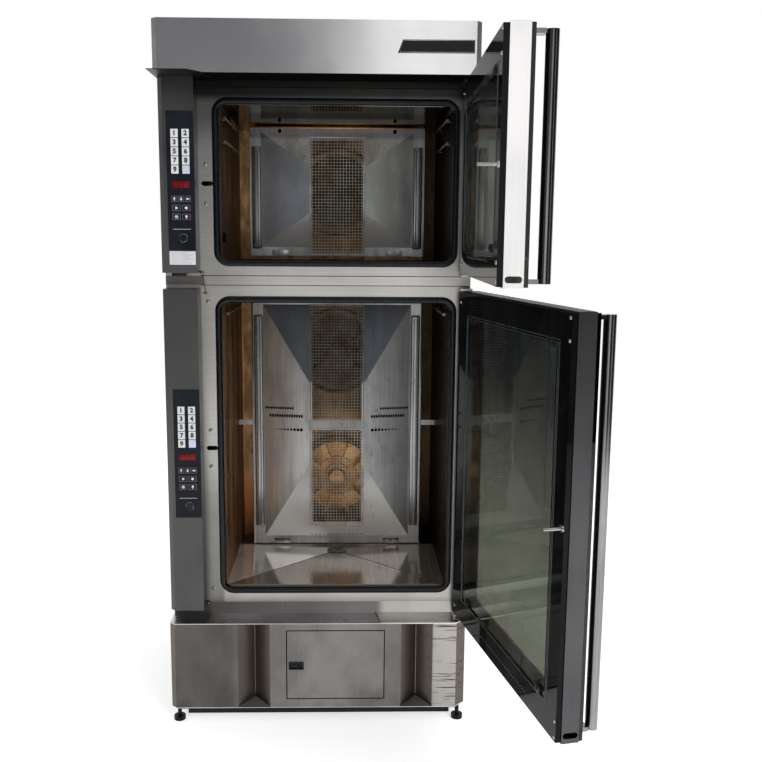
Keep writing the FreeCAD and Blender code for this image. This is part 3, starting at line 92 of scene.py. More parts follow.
class Graph:
    """A node material under construction."""

    def __init__(self, name):
        self.material = bpy.data.materials.new(name)
        self.material.use_nodes = True
        self.tree = self.material.node_tree
        self.shader = self.tree.nodes["Principled BSDF"]
        self.place = self.node("TexCoord").outputs["Object"]

    def feed(self, node, values):
        """Sets or links a node's sockets; the underscores in a name stand for spaces."""
        for name, value in values.items():
            socket = node.inputs[name.replace("_", " ") if isinstance(name, str) else name]
            if isinstance(value, bpy.types.NodeSocket):
                self.tree.links.new(value, socket)
            else:
                socket.default_value = value

    def node(self, kind, **values):
        made = self.tree.nodes.new(f"ShaderNode{kind}")
        self.feed(made, values)
        return made

    def put(self, **values):
        """Sets the shader's sockets and gives the material."""
        self.feed(self.shader, values)
        return self.material

    def noise(self, scale, stretch=(1, 1, 1), detail=4.0, rough=0.55):
        """Noise in metres: stretch gives how fast it changes along each axis."""
        place = self.node("Mapping", Vector=self.place, Scale=stretch).outputs["Vector"]
        texture = self.node("TexNoise", Vector=place, Scale=scale, Detail=detail, Roughness=rough)
        return texture.outputs["Fac"]

    def axis(self, letter):
        """One coordinate of the surface point, in metres."""
        return self.node("SeparateXYZ", Vector=self.place).outputs[letter]

    def facing(self, letter):
        """How far the surface looks along one axis, from -1 to 1."""
        normal = self.node("NewGeometry").outputs["Normal"]
        return self.node("SeparateXYZ", Vector=normal).outputs[letter]

    def spread(self, value, start, end, low=0.0, high=1.0):
        """Carries start..end over to low..high, smoothly and held at both ends."""
        made = self.node("MapRange", Value=value, From_Min=start, From_Max=end, To_Min=low, To_Max=high)
        made.interpolation_type = "SMOOTHSTEP"
        return made.outputs["Result"]

    def math(self, operation, first, second):
        made = self.node("Math")
        made.operation = operation
        self.feed(made, {0: first, 1: second})
        return made.outputs["Value"]

    def times(self, first, *others):
        for other in others:
            first = self.math("MULTIPLY", first, other)
        return first

    def rest(self, share):
        """What is left of 1."""
        return self.math("SUBTRACT", 1.0, share)

    def tint(self, factor, first, second):
        """Goes from the first colour to the second as the factor goes from 0 to 1."""
        made = self.node("Mix")
        made.data_type = "RGBA"
        self.feed(made, {0: factor, 6: first, 7: second})
        return made.outputs[2]

    def wash(self, tone, value, start, end, colour, share=1.0):
        """Takes a tone to a colour, or a share of the way there, as a value goes from start to end."""
        return self.tint(self.spread(value, start, end, 0.0, share), tone, colour)


# How fast brushed lines change along X, Y and Z, by the way they run.
ACROSS = (2.5, 260, 260)
UPRIGHT = (260, 260, 2.5)
INWARD = (260, 2.5, 260)
RUNS = (16, 16, 2.2)
# The near black that painted shade goes towards.
PAINTED_SHADE = (0.014, 0.0125, 0.0115, 1.0)
FINE_SKIN = 420.0


def shade_veil(g, tone, amount, *ramps):
    """Paints shade on a tone where all the ramps meet; a ramp is (axis, where it starts, where it is full).
    """
    share = g.times(amount, *(g.spread(g.axis(letter), start, end) for letter, start, end in ramps))
    return g.tint(share, tone, PAINTED_SHADE)


def brushed(name, colour, grain, rough=0.34, patchy=0.22, wear=0.35, shade_veils=(), metal=1.0):
    """Brushed stainless steel: fine lines along one axis, soft patches and wiped smears, and painted shade
    where its shade veils meet.
    """
    g = Graph(name)
    lines = g.noise(1.0, grain, detail=1.0)
    patches = g.noise(3.2, (1.0, 1.0, 0.6), detail=2.0)
    smears = g.noise(7.0, (1.2, 1.2, 0.8), detail=3.0, rough=0.5)
    tone = g.wash(shade(colour, 1 - patchy), patches, 0.3, 0.7, shade(colour, 1 + patchy))
    tone = g.wash(tone, lines, 0.3, 0.7, shade(colour, 1.25), 0.3)
    tone = g.wash(tone, smears, 0.52, 0.75, shade(colour, 0.6), wear)
    # Painted shade where each shade veil's ramps meet.
    for amount, *ramps in shade_veils:
        tone = shade_veil(g, tone, amount, *ramps)
    return g.put(Base_Color=tone, Metallic=metal, Roughness=g.spread(smears, 0.35, 0.7, rough, rough + 0.05))


def stained(name, colour, stain, grain, rough=0.3, amount=0.7, start=0.42):
    """Oven steel with baked-on stains that run along the grain."""
    g = Graph(name)
    lines = g.noise(1.0, grain, detail=2.0)
    runs = g.noise(1.0, RUNS, detail=6.0, rough=0.62)
    spots = g.noise(38.0, detail=3.0)
    tone = g.wash(shade(colour, 0.86), lines, 0.3, 0.7, shade(colour, 1.14))
    tone = g.wash(tone, runs, start, 0.68, stain, amount)
    tone = g.wash(tone, spots, 0.62, 0.72, shade(stain, 0.45), 0.5 * amount)
    return g.put(Base_Color=tone, Metallic=0.92, Roughness=g.spread(runs, 0.35, 0.7, rough, rough + 0.1))


def cavity_lining():
    """Chamber sheet: brown and orange from heat, most at the sides and low down, with painted shade on the
    right wall, at the back behind the fans and high in the lower chamber, and at the front of the upper
    chamber's left wall.
    """
    g = Graph("cavity_lining")
    runs = g.noise(1.0, (12, 12, 6), detail=6.0, rough=0.68)
    lines = g.noise(1.0, UPRIGHT, detail=5.0)
    back = ("Y", 0.1, 0.118)
    left = ("X", -0.27, -0.276)
    bare = g.wash(rgb(78, 73, 66), lines, 0.3, 0.7, rgb(104, 97, 88))
    brown = g.wash(rgb(104, 82, 56), runs, 0.35, 0.66, rgb(178, 140, 96))
    tanned = g.wash(rgb(206, 156, 100), runs, 0.38, 0.64, rgb(248, 206, 150))
    warm = g.tint(g.spread(g.axis("Y"), *back[1:]), brown, tanned)
    tone = g.tint(g.spread(runs, 0.34, 0.62, 0.4, 1.0), bare, warm)
    low = g.times(g.spread(g.axis("Z"), 0.85, 0.42), g.spread(runs, 0.4, 0.6), 0.8)
    tone = g.tint(low, tone, rgb(186, 104, 48))
    tone = g.wash(tone, g.facing("Z"), 0.5, 0.9, rgb(122, 121, 119))
    # Painted shade on the right wall, at the back, and at the front of the upper chamber's left wall.
    tone = shade_veil(g, tone, 0.9, ("X", 0.331, 0.34))
    tone = shade_veil(g, tone, 0.3, ("Z", 0.8, 0.88), ("Z", 1.32, 1.28), back)
    tone = shade_veil(g, tone, 0.6, ("X", -0.046, -0.04), ("X", 0.146, 0.14), back)
    tone = shade_veil(g, tone, 0.25, left, ("Y", -0.1, -0.34), ("Z", 1.3, 1.34))
    left_low = g.times(g.spread(g.axis("X"), *left[1:]), g.spread(g.axis("Z"), 1.34, 1.3))
    streaks = g.noise(1.0, (34, 34, 2.0), detail=4.0, rough=0.62)
    for end, share, colour in ((0.62, 0.8, rgb(240, 196, 142)), (0.34, 0.6, rgb(92, 84, 74))):
        tone = g.tint(g.times(left_low, g.spread(streaks, 0.44, end, 0.0, share)), tone, colour)
    soot = g.noise(26.0, (1, 1, 0.5), detail=5.0, rough=0.7)
    tone = g.wash(tone, soot, 0.56, 0.74, rgb(40, 30, 24), 0.75)
    return g.put(Base_Color=tone, Metallic=0.75, Roughness=g.spread(runs, 0.3, 0.7, 0.26, 0.45),
                 Specular_Tint=rgb(132, 98, 64))


def roof_sheet():
    """The upper chamber's ceiling: polished, with a light brown cast."""
    g = Graph("roof_mirror")
    smears = g.noise(1.0, (14, 5, 14), detail=4.0)
    tone = g.wash(rgb(176, 173, 168), smears, 0.35, 0.7, rgb(150, 142, 132))
    return g.put(Base_Color=tone, Metallic=1.0, Roughness=g.spread(smears, 0.35, 0.7, 0.05, 0.09),
                 Specular_Tint=rgb(180, 177, 172))


def baffle_sheet():
    """The fan sheets: stained and cloudy steel, with painted reflections that differ by the way a facet
    looks.

    In the lower chamber a facet that looks up has a painted dark blue reflection, in the upper one a facet
    that looks left a painted blue cast, and in both one that looks down a painted bright reflection. Side
    facets have a painted highlight, and the top of the upper sheet has painted shade under the roof.
    """
    g = Graph("baffle_steel")
    lines = g.noise(1.0, UPRIGHT, detail=1.0)
    runs = g.noise(1.0, RUNS, detail=5.0, rough=0.6)
    spots = g.noise(38.0, detail=3.0)
    clouds = g.noise(6.5, (1.0, 1.0, 0.55), detail=4.0, rough=0.6)
    height = g.axis("Z")
    across, rising = g.facing("X"), g.facing("Z")
    lower_deck = g.spread(height, 1.32, 1.3)
    pale = rgb(240, 239, 237)
    tone = g.wash(rgb(156, 157, 157), lines, 0.3, 0.7, rgb(176, 177, 177))
    tone = g.wash(tone, runs, 0.5, 0.7, rgb(122, 112, 98), 0.45)
    tone = g.wash(tone, spots, 0.62, 0.72, rgb(80, 72, 62), 0.3)
    # Painted highlight on the facets that look sideways, faint in the lower chamber.
    side_highlight = g.spread(g.times(across, across), 0.002, 0.008)
    tone = g.tint(g.times(side_highlight, g.spread(height, 1.3, 1.34, 0.12, 0.95)), tone, rgb(232, 232, 231))
    # Painted dark blue reflection on the lower chamber's facets that look up.
    tone = g.tint(g.times(g.spread(rising, 0.04, 0.09, 0.0, 0.9), lower_deck), tone, rgb(56, 62, 72))
    # Painted blue reflection on the upper chamber's facets that look left.
    blue_reflection = g.times(g.spread(across, -0.04, -0.09, 0.0, 0.45), g.rest(lower_deck))
    tone = g.tint(blue_reflection, tone, rgb(168, 190, 220))
    tone = g.wash(tone, clouds, 0.47, 0.62, rgb(86, 88, 91), 0.26)
    # Painted bright reflection on the facets that look down, dimmer higher up in the lower chamber.
    shine = g.tint(lower_deck, pale, g.wash(pale, height, 0.5, 0.66, rgb(146, 145, 143)))
    tone = g.wash(tone, rising, -0.04, -0.09, shine, 0.95)
    # Painted shade on the bar between the lower guards.
    tone = shade_veil(g, tone, 0.4, ("X", -0.046, -0.04), ("X", 0.146, 0.14),
                ("Z", 0.79, 0.797), ("Z", 0.828, 0.82))
    # Painted shade at the top of the upper sheet, under the roof.
    tone = g.wash(tone, height, 1.727, 1.742, rgb(98, 101, 109), 0.62)
    return g.put(Base_Color=tone, Metallic=0.8, Roughness=g.spread(runs, 0.35, 0.7, 0.27, 0.36))


def pan_sheet():
    """The chamber's floor: stained, with a painted bright reflection on the left facet, which looks towards
    +X; the others stay darker.
    """
    g = Graph("pan_steel")
    lines = g.noise(1.0, INWARD, detail=1.0)
    stains = g.noise(11.0, detail=5.0, rough=0.62)
    tone = g.wash(rgb(150, 139, 127), lines, 0.3, 0.7, rgb(172, 162, 151))
    # Painted bright reflection on the facet that looks towards +X.
    tone = g.wash(tone, g.facing("X"), 0.006, 0.014, rgb(250, 246, 240))
    tone = g.wash(tone, stains, 0.5, 0.72, rgb(150, 124, 98), 0.3)
    return g.put(Base_Color=tone, Metallic=0.65, Roughness=g.spread(stains, 0.35, 0.7, 0.11, 0.18))


def base_steel():
    """The base's front: grey sheet with painted shade in the grooves and at the left, painted light on the
    flats at the right, and scratches at the right.
    """
    g = Graph("base_steel")
    lines = g.noise(1.0, UPRIGHT, detail=1.0)
    patches = g.noise(7.0, (1.0, 1.0, 0.6), detail=5.0, rough=0.6)
    scuffs = g.noise(1.0, (6, 30, 150), detail=3.0, rough=0.6)
    grime = g.noise(14.0, detail=5.0, rough=0.6)
    groove_shade = g.spread(g.axis("Y"), -0.4895, -0.4875)
    front = g.math("LESS_THAN", g.axis("Y"), -0.4)
    right = g.spread(g.axis("X"), 0.3, 0.35)
    low = g.spread(g.axis("Z"), 0.17, 0.03)
    tone = g.wash(rgb(102, 101, 99), patches, 0.3, 0.7, rgb(132, 130, 127))
    tone = g.wash(tone, lines, 0.35, 0.7, rgb(146, 144, 140), 0.12)
    # Painted shade in the grooves.
    tone = g.tint(g.times(groove_shade, front, 0.85), tone, rgb(92, 83, 76))
    # Painted light on the flats at the right.
    tone = g.tint(g.times(right, g.rest(groove_shade), 0.5), tone, rgb(206, 202, 197))
    tone = g.tint(g.times(g.spread(scuffs, 0.57, 0.63), right, 0.9), tone, rgb(58, 52, 50))
    # Painted shade at the left of the front face.
    tone = shade_veil(g, tone, 0.55, ("X", -0.2, -0.28), ("Y", -0.487, -0.4895))
    tone = g.tint(g.times(g.spread(grime, 0.5, 0.7), low, 0.35), tone, rgb(70, 62, 54))
    return g.put(Base_Color=tone, Metallic=1.0, Roughness=g.spread(lines, 0.3, 0.7, 0.3, 0.34))


def coated(name, colour, rough=0.45, mottled=0.25, grain=240.0, metal=0.0, shine=0.5):
    """Paint, rubber or moulded plastic: a fine skin and slightly uneven colour."""
    g = Graph(name)
    dust = g.noise(12.0, detail=5.0, rough=0.7)
    skin = g.node("Bump", Height=g.noise(grain, detail=4.0), Strength=0.1, Distance=0.0003)
    tone = g.wash(shade(colour, 1 - mottled), dust, 0.35, 0.7, shade(colour, 1 + mottled))
    return g.put(Base_Color=tone, Roughness=g.spread(dust, 0.3, 0.7, rough - 0.06, rough + 0.1),
                 Metallic=metal, Specular_IOR_Level=shine, Normal=skin.outputs["Normal"])


def glass(name, top, bottom, rough=0.02):
    """A tinted pane with wipe marks, with painted shade that grows towards the top of each door."""
    g = Graph(name)
    smears = g.noise(7.0, (1, 1, 0.35), detail=5.0, rough=0.6)
    height = g.axis("Z")
    lower = g.times(g.spread(height, 0.45, 1.15), g.rest(g.spread(height, 1.25, 1.35)))
    # Painted shade towards the top of each door.
    top_shade = g.math("MAXIMUM", lower, g.spread(height, 1.42, 1.8))
    tone = g.tint(top_shade, bottom, top)
    tone = g.wash(tone, smears, 0.4, 0.75, shade(bottom, 0.75), 0.35)
    return g.put(Base_Color=tone, Roughness=g.spread(smears, 0.5, 0.8, rough, rough + 0.05),
                 Transmission_Weight=1.0, IOR=1.45)


def guard_wire():
    """The fan guards' wire: pale and burnt brown, with painted shade before the lower chamber's high fan."""
    g = Graph("wire_steel")
    burnt = g.noise(22.0, detail=5.0, rough=0.65)
    tone = g.wash(rgb(226, 220, 206), burnt, 0.38, 0.68, rgb(182, 158, 126))
    # Painted shade before the lower chamber's high fan.
    tone = shade_veil(g, tone, 0.55, ("Z", 0.8, 0.9), ("Z", 1.3, 1.25))
    return g.put(Base_Color=tone, Metallic=0.35, Roughness=g.spread(burnt, 0.3, 0.7, 0.3, 0.46))


def black_glass():
    """Dark glazing border: smooth, with faint wipe marks."""
    g = Graph("border_glass")
    smears = g.noise(9.0, (1, 1, 0.4), detail=5.0, rough=0.6)
    tone = g.wash(rgb(10, 11, 12), smears, 0.35, 0.7, rgb(20, 22, 23))
    return g.put(Base_Color=tone, Roughness=g.spread(smears, 0.4, 0.75, 0.03, 0.1), Specular_IOR_Level=0.1)


def satin_bar():
    """The handle's dark satin metal, with a fine grain along the bar."""
    g = Graph("handle_metal")
    lines = g.noise(1.0, UPRIGHT, detail=2.0)
    rubbed = g.noise(6.0, (1, 1, 0.6), detail=5.0)
    tone = g.wash(rgb(112, 113, 117), rubbed, 0.35, 0.7, rgb(142, 142, 144))
    tone = g.wash(tone, lines, 0.4, 0.7, rgb(158, 157, 156), 0.5)
    return g.put(Base_Color=tone, Metallic=1.0, Roughness=g.spread(lines, 0.3, 0.7, 0.14, 0.2))


def glowing_segment(name, colour, level):
    """A red segment of the display, which is off, with a faint painted glow."""
    g = Graph(name)
    tone = g.wash(shade(colour, 0.8), g.noise(160.0, detail=2.0), 0.3, 0.7, colour)
    return g.put(Base_Color=tone, Roughness=0.35, Emission_Color=tone, Emission_Strength=level)


# Painted shade on the hood's top and sides and on its left end.
hood_steel = brushed("hood_steel", rgb(250, 250, 250), ACROSS, rough=0.19, patchy=0.05, wear=0.03,
                     shade_veils=[(0.5, ("Y", -0.519, -0.46)), (0.75, ("X", -0.432, -0.4375))])
casing_steel = brushed("casing_steel", rgb(150, 148, 146), UPRIGHT, rough=0.36, patchy=0.07, wear=0.2)
# Painted shade on the columns: the lower one darker, more so towards the floor, and the upper one's top under
# the hood.
column_steel = brushed("column_steel", rgb(112, 111, 111), UPRIGHT, shade_veils=[
    (0.35, ("Z", 1.31, 1.28)), (0.35, ("Z", 1.1, 0.5)), (0.35, ("Z", 1.76, 1.84))])
# Painted shade on the frames: under the hood, low on the lower frame and at its left flange; the dark band at
# the right is a painted reflection of the open door.
frame_steel = brushed("frame_steel", rgb(196, 193, 189), ACROSS, rough=0.28, patchy=0.14, wear=0.25, shade_veils=[
    (0.55, ("Z", 1.65, 1.77)), (0.88, ("Z", 1.786, 1.815)), (0.8, ("X", 0.4, 0.425)),
    (0.3, ("Z", 0.8, 0.45)), (0.5, ("Z", 0.9, 0.6), ("X", -0.278, -0.29))])
# Painted shade at the left of the trim strips and low down towards the left.
rail_steel = brushed("rail_steel", rgb(196, 192, 188), ACROSS, rough=0.26, patchy=0.16, wear=0.3, shade_veils=[
    (0.66, ("Z", 0.37, 0.335), ("X", 0.2, 0.17)), (0.6, ("X", -0.318, -0.335))])
# Near-black steel: painted shade on the visor, whose underside lies in shade.
shaded_visor_steel = brushed("shaded_visor_steel", rgb(30, 29, 29), ACROSS, rough=0.4, patchy=0.2, wear=0.4)
# Painted shade at the shelf's left.
shelf_steel = brushed("shelf_steel", rgb(212, 212, 216), ACROSS, rough=0.26, patchy=0.2, wear=0.45,
                      shade_veils=[(0.2, ("X", 0.2, 0.17))])
lip_steel = brushed("lip_steel", rgb(206, 202, 198), ACROSS, rough=0.26, patchy=0.16, wear=0.3)
# One door steel in a lit and a shaded copy: painted light on the upper door's frame, painted shade on the
# lower door's.
lit_upper_door_steel = brushed("lit_upper_door_steel", rgb(240, 238, 237), UPRIGHT, rough=0.3, patchy=0.06,
                           wear=0.16, metal=0.4)
shaded_lower_door_steel = brushed("shaded_lower_door_steel", rgb(84, 83, 85), UPRIGHT, rough=0.36, patchy=0.14, wear=0.25)
front_steel = base_steel()
baffle_steel = baffle_sheet()
wire_steel = guard_wire()
pan_steel = pan_sheet()
roof_mirror = roof_sheet()
lining = cavity_lining()
border_glass = black_glass()
handle_metal = satin_bar()
channel_steel = stained("channel_steel", rgb(150, 151, 151), rgb(100, 92, 82), UPRIGHT, 0.2, 0.4)
rack_steel = stained("rack_steel", rgb(120, 117, 112), rgb(70, 58, 46), INWARD, 0.22, 0.6)
fan_steel = stained("fan_steel", rgb(46, 41, 36), rgb(38, 29, 21), INWARD, amount=0.85, start=0.35)
fan_brown = stained("fan_brown", rgb(206, 156, 98), rgb(162, 106, 56), INWARD, amount=0.85, start=0.35)
brass = stained("brass", rgb(196, 160, 84), rgb(120, 88, 44), INWARD, 0.28, 0.6)
heater = stained("heater_sheath", rgb(84, 76, 70), rgb(60, 40, 30), ACROSS, 0.4, 0.8)
tie_brass = stained("tie_brass", rgb(150, 132, 104), rgb(110, 86, 58), UPRIGHT, 0.3, 0.6)
screw_steel = stained("screw_steel", rgb(178, 176, 172), rgb(110, 98, 86), ACROSS, 0.22, 0.5)
outer_tint = glass("outer_tint", rgb(28, 33, 38), rgb(128, 130, 116))
inner_tint = glass("inner_tint", rgb(190, 198, 198), rgb(214, 220, 214))
rubber = coated("seal_rubber", rgb(9, 12, 20), 0.26, shine=0.28)
black_paint = coated("black_paint", rgb(20, 20, 21), 0.4, shine=0.15)
# Dark grey: painted shade on the plinth under the base.
plinth_shade_paint = coated("plinth_shade_paint", rgb(42, 41, 40), 0.5, shine=0.2)
# Near black: painted shade on the hood's soffit and along the shelf's step, and the steam fittings.
shade_and_fittings_black = coated("shade_and_fittings_black", rgb(12, 11, 11), 0.75, shine=0.05)
black_plastic = coated("black_plastic", rgb(20, 20, 22), 0.35, shine=0.3)
glass_edge = coated("glass_edge", rgb(84, 96, 94), 0.2, 0.15)
# Near black: painted shade in the baffles' holes and the louvres' mouths, and the dark joints between the
# decks.
hollow = coated("hollow_dark", rgb(10, 9, 9), 0.7, shine=0.05)
panel_film = coated("panel_film", rgb(26, 29, 38), 0.34, grain=FINE_SKIN, shine=0.15)
key_white = coated("key_white", rgb(226, 228, 230), 0.4, 0.06, FINE_SKIN)
key_blue = coated("key_blue", rgb(204, 213, 230), 0.4, 0.1, FINE_SKIN)
key_dark = coated("key_dark", rgb(34, 37, 47), 0.34, grain=FINE_SKIN, shine=0.15)
key_rim = coated("key_rim", rgb(140, 143, 150), 0.4, 0.1, FINE_SKIN)
key_red = coated("key_red", rgb(176, 40, 44), 0.4, 0.12, FINE_SKIN)
ink = coated("ink", rgb(28, 30, 36), 0.5, grain=FINE_SKIN)
icon_white = coated("icon_white", rgb(228, 228, 228), 0.45, 0.05, FINE_SKIN)
display_red = coated("display_red", rgb(112, 8, 12), 0.16, grain=FINE_SKIN, shine=0.2)
# Faint painted glow on the display's segments.
segment_red = glowing_segment("segment_red", rgb(132, 14, 16), 0.05)
label_white = coated("label_white", rgb(222, 224, 226), 0.5, 0.06)
plate_dark = coated("plate_dark", rgb(26, 27, 32), 0.3, 0.15, shine=0.2)
wool = coated("mineral_wool", rgb(196, 178, 120), 0.95, 0.3, 90.0)
board_green = coated("board_green", rgb(30, 92, 52), 0.4)
motor_paint = coated("motor_case", rgb(92, 96, 102), 0.42, metal=0.5)


def both(name):
    """The nodes of a part that each deck has."""
    return [f"{deck}_{name}" for deck in DOORS]


# Each material with the CAD nodes that it covers.
FINISHES = [
    (hood_steel, "hood"),
    (casing_steel, "left_side_panel", "right_side_panel", "rear_panel"),
    (column_steel, *both("control_column")),
    (frame_steel, *both("front_frame"), "top_panel"),
    (rail_steel, "trim_strips", "hinge_brackets"),
    (shaded_visor_steel, "column_visor"),
    (shelf_steel, "base_plates"),
    (shaded_lower_door_steel, "lower_door_frame"),
    (lit_upper_door_steel, "upper_door_frame"),
    (front_steel, "base_front", "base_hatch"),
    (baffle_steel, *both("fan_baffle")),
    (wire_steel, "lower_fan_guards", "upper_fan_guard"),
    (rack_steel, "rack_rails"),
    (fan_steel, "lower_fan_high", "upper_fan"),
    (fan_brown, "lower_fan_low"),
    (pan_steel, "lower_floor_pan", "drain"),
    (lining, *both("cavity"), "service_compartment"),
    (rubber, *both("door_seal")),
    (black_paint, "levelling_feet", "hatch_frame"),
    (plinth_shade_paint, "plinth"),
    (border_glass, *both("door_inner_frame")),
    (shade_and_fittings_black, "hood_soffit", "steam_fittings"),
    (black_plastic, *both("switch"), "hatch_pull", "cable_gland"),
    (outer_tint, *both("outer_glass")),
    (inner_tint, *both("inner_glass")),
    (handle_metal, *both("door_handle")),
    (panel_film, "control_panels"),
    (key_white, "control_keys"),
    (display_red, "displays"),
    (wool, "insulation"),
    (board_green, "control_boards"),
    (motor_paint, "fan_motors"),
    (brass, "water_inlet"),
    (heater, "ring_heaters"),
    (screw_steel, "frame_screws", *both("latch_pin")),
]

# How far the edges of a node are rounded, in millimetres.
ROUNDED = {
    0.8: ["hood", *both("control_column"), *both("door_frame"), "base_front", "base_hatch", "trim_strips",
          "column_visor", *both("door_inner_frame"), "base_plates", "hinge_brackets", "control_panels"],
    1.6: ["frame_screws", "hatch_pull", *both("switch"), "rack_rails"],
    2.2: both("outer_glass"),
}


def dress_nodes():
    """Gives every CAD node its material, and rounds the edges that catch light."""
    for material, *names in FINISHES:
        for name in names:
            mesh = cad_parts[name].data
            mesh.materials.clear()
            mesh.materials.append(material)
    for width, names in ROUNDED.items():
        for name in names:
            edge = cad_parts[name].modifiers.new("rounded", "BEVEL")
            edge.width = width * MM
            edge.segments = 3
            edge.limit_method = "ANGLE"
            edge.angle_limit = radians(40)
            edge.harden_normals = False


def box_mm(node):
    """The low and the high corner of a CAD node, in millimetres."""
    low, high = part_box(node)
    return low / MM, high / MM


def place(name, data):
    """A new object in the scene."""
    made = bpy.data.objects.new(name, data)
    bpy.context.scene.collection.objects.link(made)
    return made


class Shape:
    """A mesh under construction, in millimetres."""

    def __init__(self):
        self.mesh = bmesh.new()

    def loop(self, points):
        return [self.mesh.verts.new(point) for point in points]

    def face(self, corners):
        self.mesh.faces.new(corners)

    def skirt(self, low, high):
        """Joins two loops with as many corners."""
        for i in range(len(low)):
            j = (i + 1) % len(low)
            self.face((low[i], low[j], high[j], high[i]))

    def box(self, low, high, round_by=0.0, steps=2):
        made = bmesh.ops.create_cube(self.mesh, size=1.0)["verts"]
        for vertex in made:
            vertex.co = [low[i] + (vertex.co[i] + 0.5) * (high[i] - low[i]) for i in range(3)]
        if round_by:
            edges = list({edge for vertex in made for edge in vertex.link_edges})
            bmesh.ops.bevel(self.mesh, geom=edges, offset=round_by, segments=steps,
                            affect="EDGES", profile=0.5, clamp_overlap=True)

    def block(self, x, z, width, height, y_front, y_back, round_by=0.0, steps=2):
        """A box about its middle, as seen from the front."""
        self.box((x - width / 2, y_front, z - height / 2), (x + width / 2, y_back, z + height / 2),
                 round_by, steps)

    def prism(self, first, second):
        """A solid between two outlines with as many corners."""
        first, second = self.loop(first), self.loop(second)
        self.face(first)
        self.face(list(reversed(second)))
        self.skirt(first, second)

    def sheet(self, outline, y_front, y_back):
        """An outline of (x, z) points, made solid from y_front to y_back."""
        self.prism([(x, y_front, z) for x, z in outline], [(x, y_back, z) for x, z in outline])

    def slot(self, x, z, length, height, y_front, y_back, tilt=0.0):
        """A bar with round ends, seen from the front."""
        self.sheet(stadium(x, z, length, height, tilt), y_front, y_back)

    def turned(self, profile, centre, towards, steps=20):
        """A turned form: (radius, height) pairs about a line from centre along towards."""
        turn = Vector(UPWARD).rotation_difference(Vector(towards)).to_matrix()
        angles = [tau * i / steps for i in range(steps)]
        rings = []
        for radius, height in profile:
            ring = [Vector((radius * cos(a), radius * sin(a), height)) for a in angles]
            rings.append(self.loop(Vector(centre) + turn @ point for point in ring))
        for low, high in zip(rings, rings[1:]):
            self.skirt(low, high)
        self.face(list(reversed(rings[0])))
        self.face(rings[-1])

    def rod(self, start, end, radius, sides=8):
        """A straight wire with bevelled ends."""
        start, end = Vector(start), Vector(end)
        length = (end - start).length
        tip = radius * 0.4
        profile = [(radius - tip, 0), (radius, tip), (radius, length - tip), (radius - tip, length)]
        self.turned(profile, start, (end - start).normalized(), sides)

    def screw(self, centre, radius, towards=FORWARD):
        """A dome head with a socket in it."""
        profile = ((1, 0), (1, 0.3), (0.8, 0.62), (0.45, 0.74), (0.4, 0.35), (0.05, 0.3))
        self.turned([(radius * wide, radius * high) for wide, high in profile], centre, towards, 16)

    def done(self, name, material, slot, body=ROOT, deck=None, smooth=35):
        """Turns the mesh into a piece on its body; a door's piece is drawn in the door's frame."""
        bmesh.ops.recalc_face_normals(self.mesh, faces=self.mesh.faces)
        mesh = bpy.data.meshes.new(name)
        self.mesh.to_mesh(mesh)
        self.mesh.free()
        if deck:
            mesh.transform(door_matrix(deck))
            body = f"{deck}_door"
        mesh.transform(Matrix.Scale(MM, 4))
        mesh.materials.append(material)
        return settle(name, mesh, body, smooth)


def shapes(count):
    """So many empty meshes."""
    return [Shape() for i in range(count)]


def settle(name, mesh, body, smooth):
    """Puts a finished mesh into the scene and lets it ride on its body."""
    for face in mesh.polygons:
        face.use_smooth = bool(smooth)
    if smooth:
        mesh.set_sharp_from_angle(angle=radians(smooth))
    piece = place(name, mesh)
    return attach(piece, body)


def door_matrix(deck):
    """From a door's own frame, drawn closed about its pivot, to the part's frame."""
    turn = Matrix.Rotation(radians(DOORS[deck]["turn"]), 4, "Z")
    return Matrix.Translation((*DOOR_PIVOT, 0)) @ turn


def stadium(x, z, length, height, tilt=0.0, steps=8):
    """The outline of a bar with round ends."""
    radius = min(length, height) / 2
    reach = abs(length - height) / 2
    turn = radians(tilt) + (0.0 if length >= height else pi / 2)
    points = []
    for end, side in ((0, 1), (1, -1)):
        for i in range(steps + 1):
            angle = pi * (i / steps - 0.5 + end)
            a = side * reach + radius * cos(angle)
            b = radius * sin(angle)
            points.append((x + a * cos(turn) - b * sin(turn),
                           z + a * sin(turn) + b * cos(turn)))
    return points


def lettering(name, words, size, x, y, z, material):
    """Flat printed digits on a face that looks to the front."""
    curve = bpy.data.curves.new(name, "FONT")
    curve.body = words
    curve.size = size
    curve.align_x = "CENTER"
    curve.align_y = "CENTER"
    curve.extrude = 0.1
    curve.bevel_depth = 0.042 * size
    holder = place(name, curve)
    bpy.context.view_layer.update()
    mesh = bpy.data.meshes.new_from_object(holder)
    bpy.data.objects.remove(holder)
    bpy.data.curves.remove(curve)
    mesh.name = name
    mesh.transform(Matrix.Rotation(pi / 2, 4, "X"))
    mesh.transform(Matrix.Translation((x, y, z)))
    mesh.transform(Matrix.Scale(MM, 4))
    mesh.materials.clear()
    mesh.materials.append(material)
    settle(name, mesh, ROOT, 0)


WIRE, BORDER_WIRE = 0.95, 1.5
WIRE_PITCH = 9.7
UPRIGHT_WIRE_Y, CROSS_WIRE_Y = RIDGE_Y - 2.8, RIDGE_Y - 1.0
# The foot and head of each guard panel, by the node that it replaces.
GUARD_PANELS = {
    "lower_fan_guards": ("lower_guard_wires", (464.5, 795.5), (821.5, 1203.5)),
    "upper_fan_guard": ("upper_guard_wires", (1368.5, 1735.5)),
}


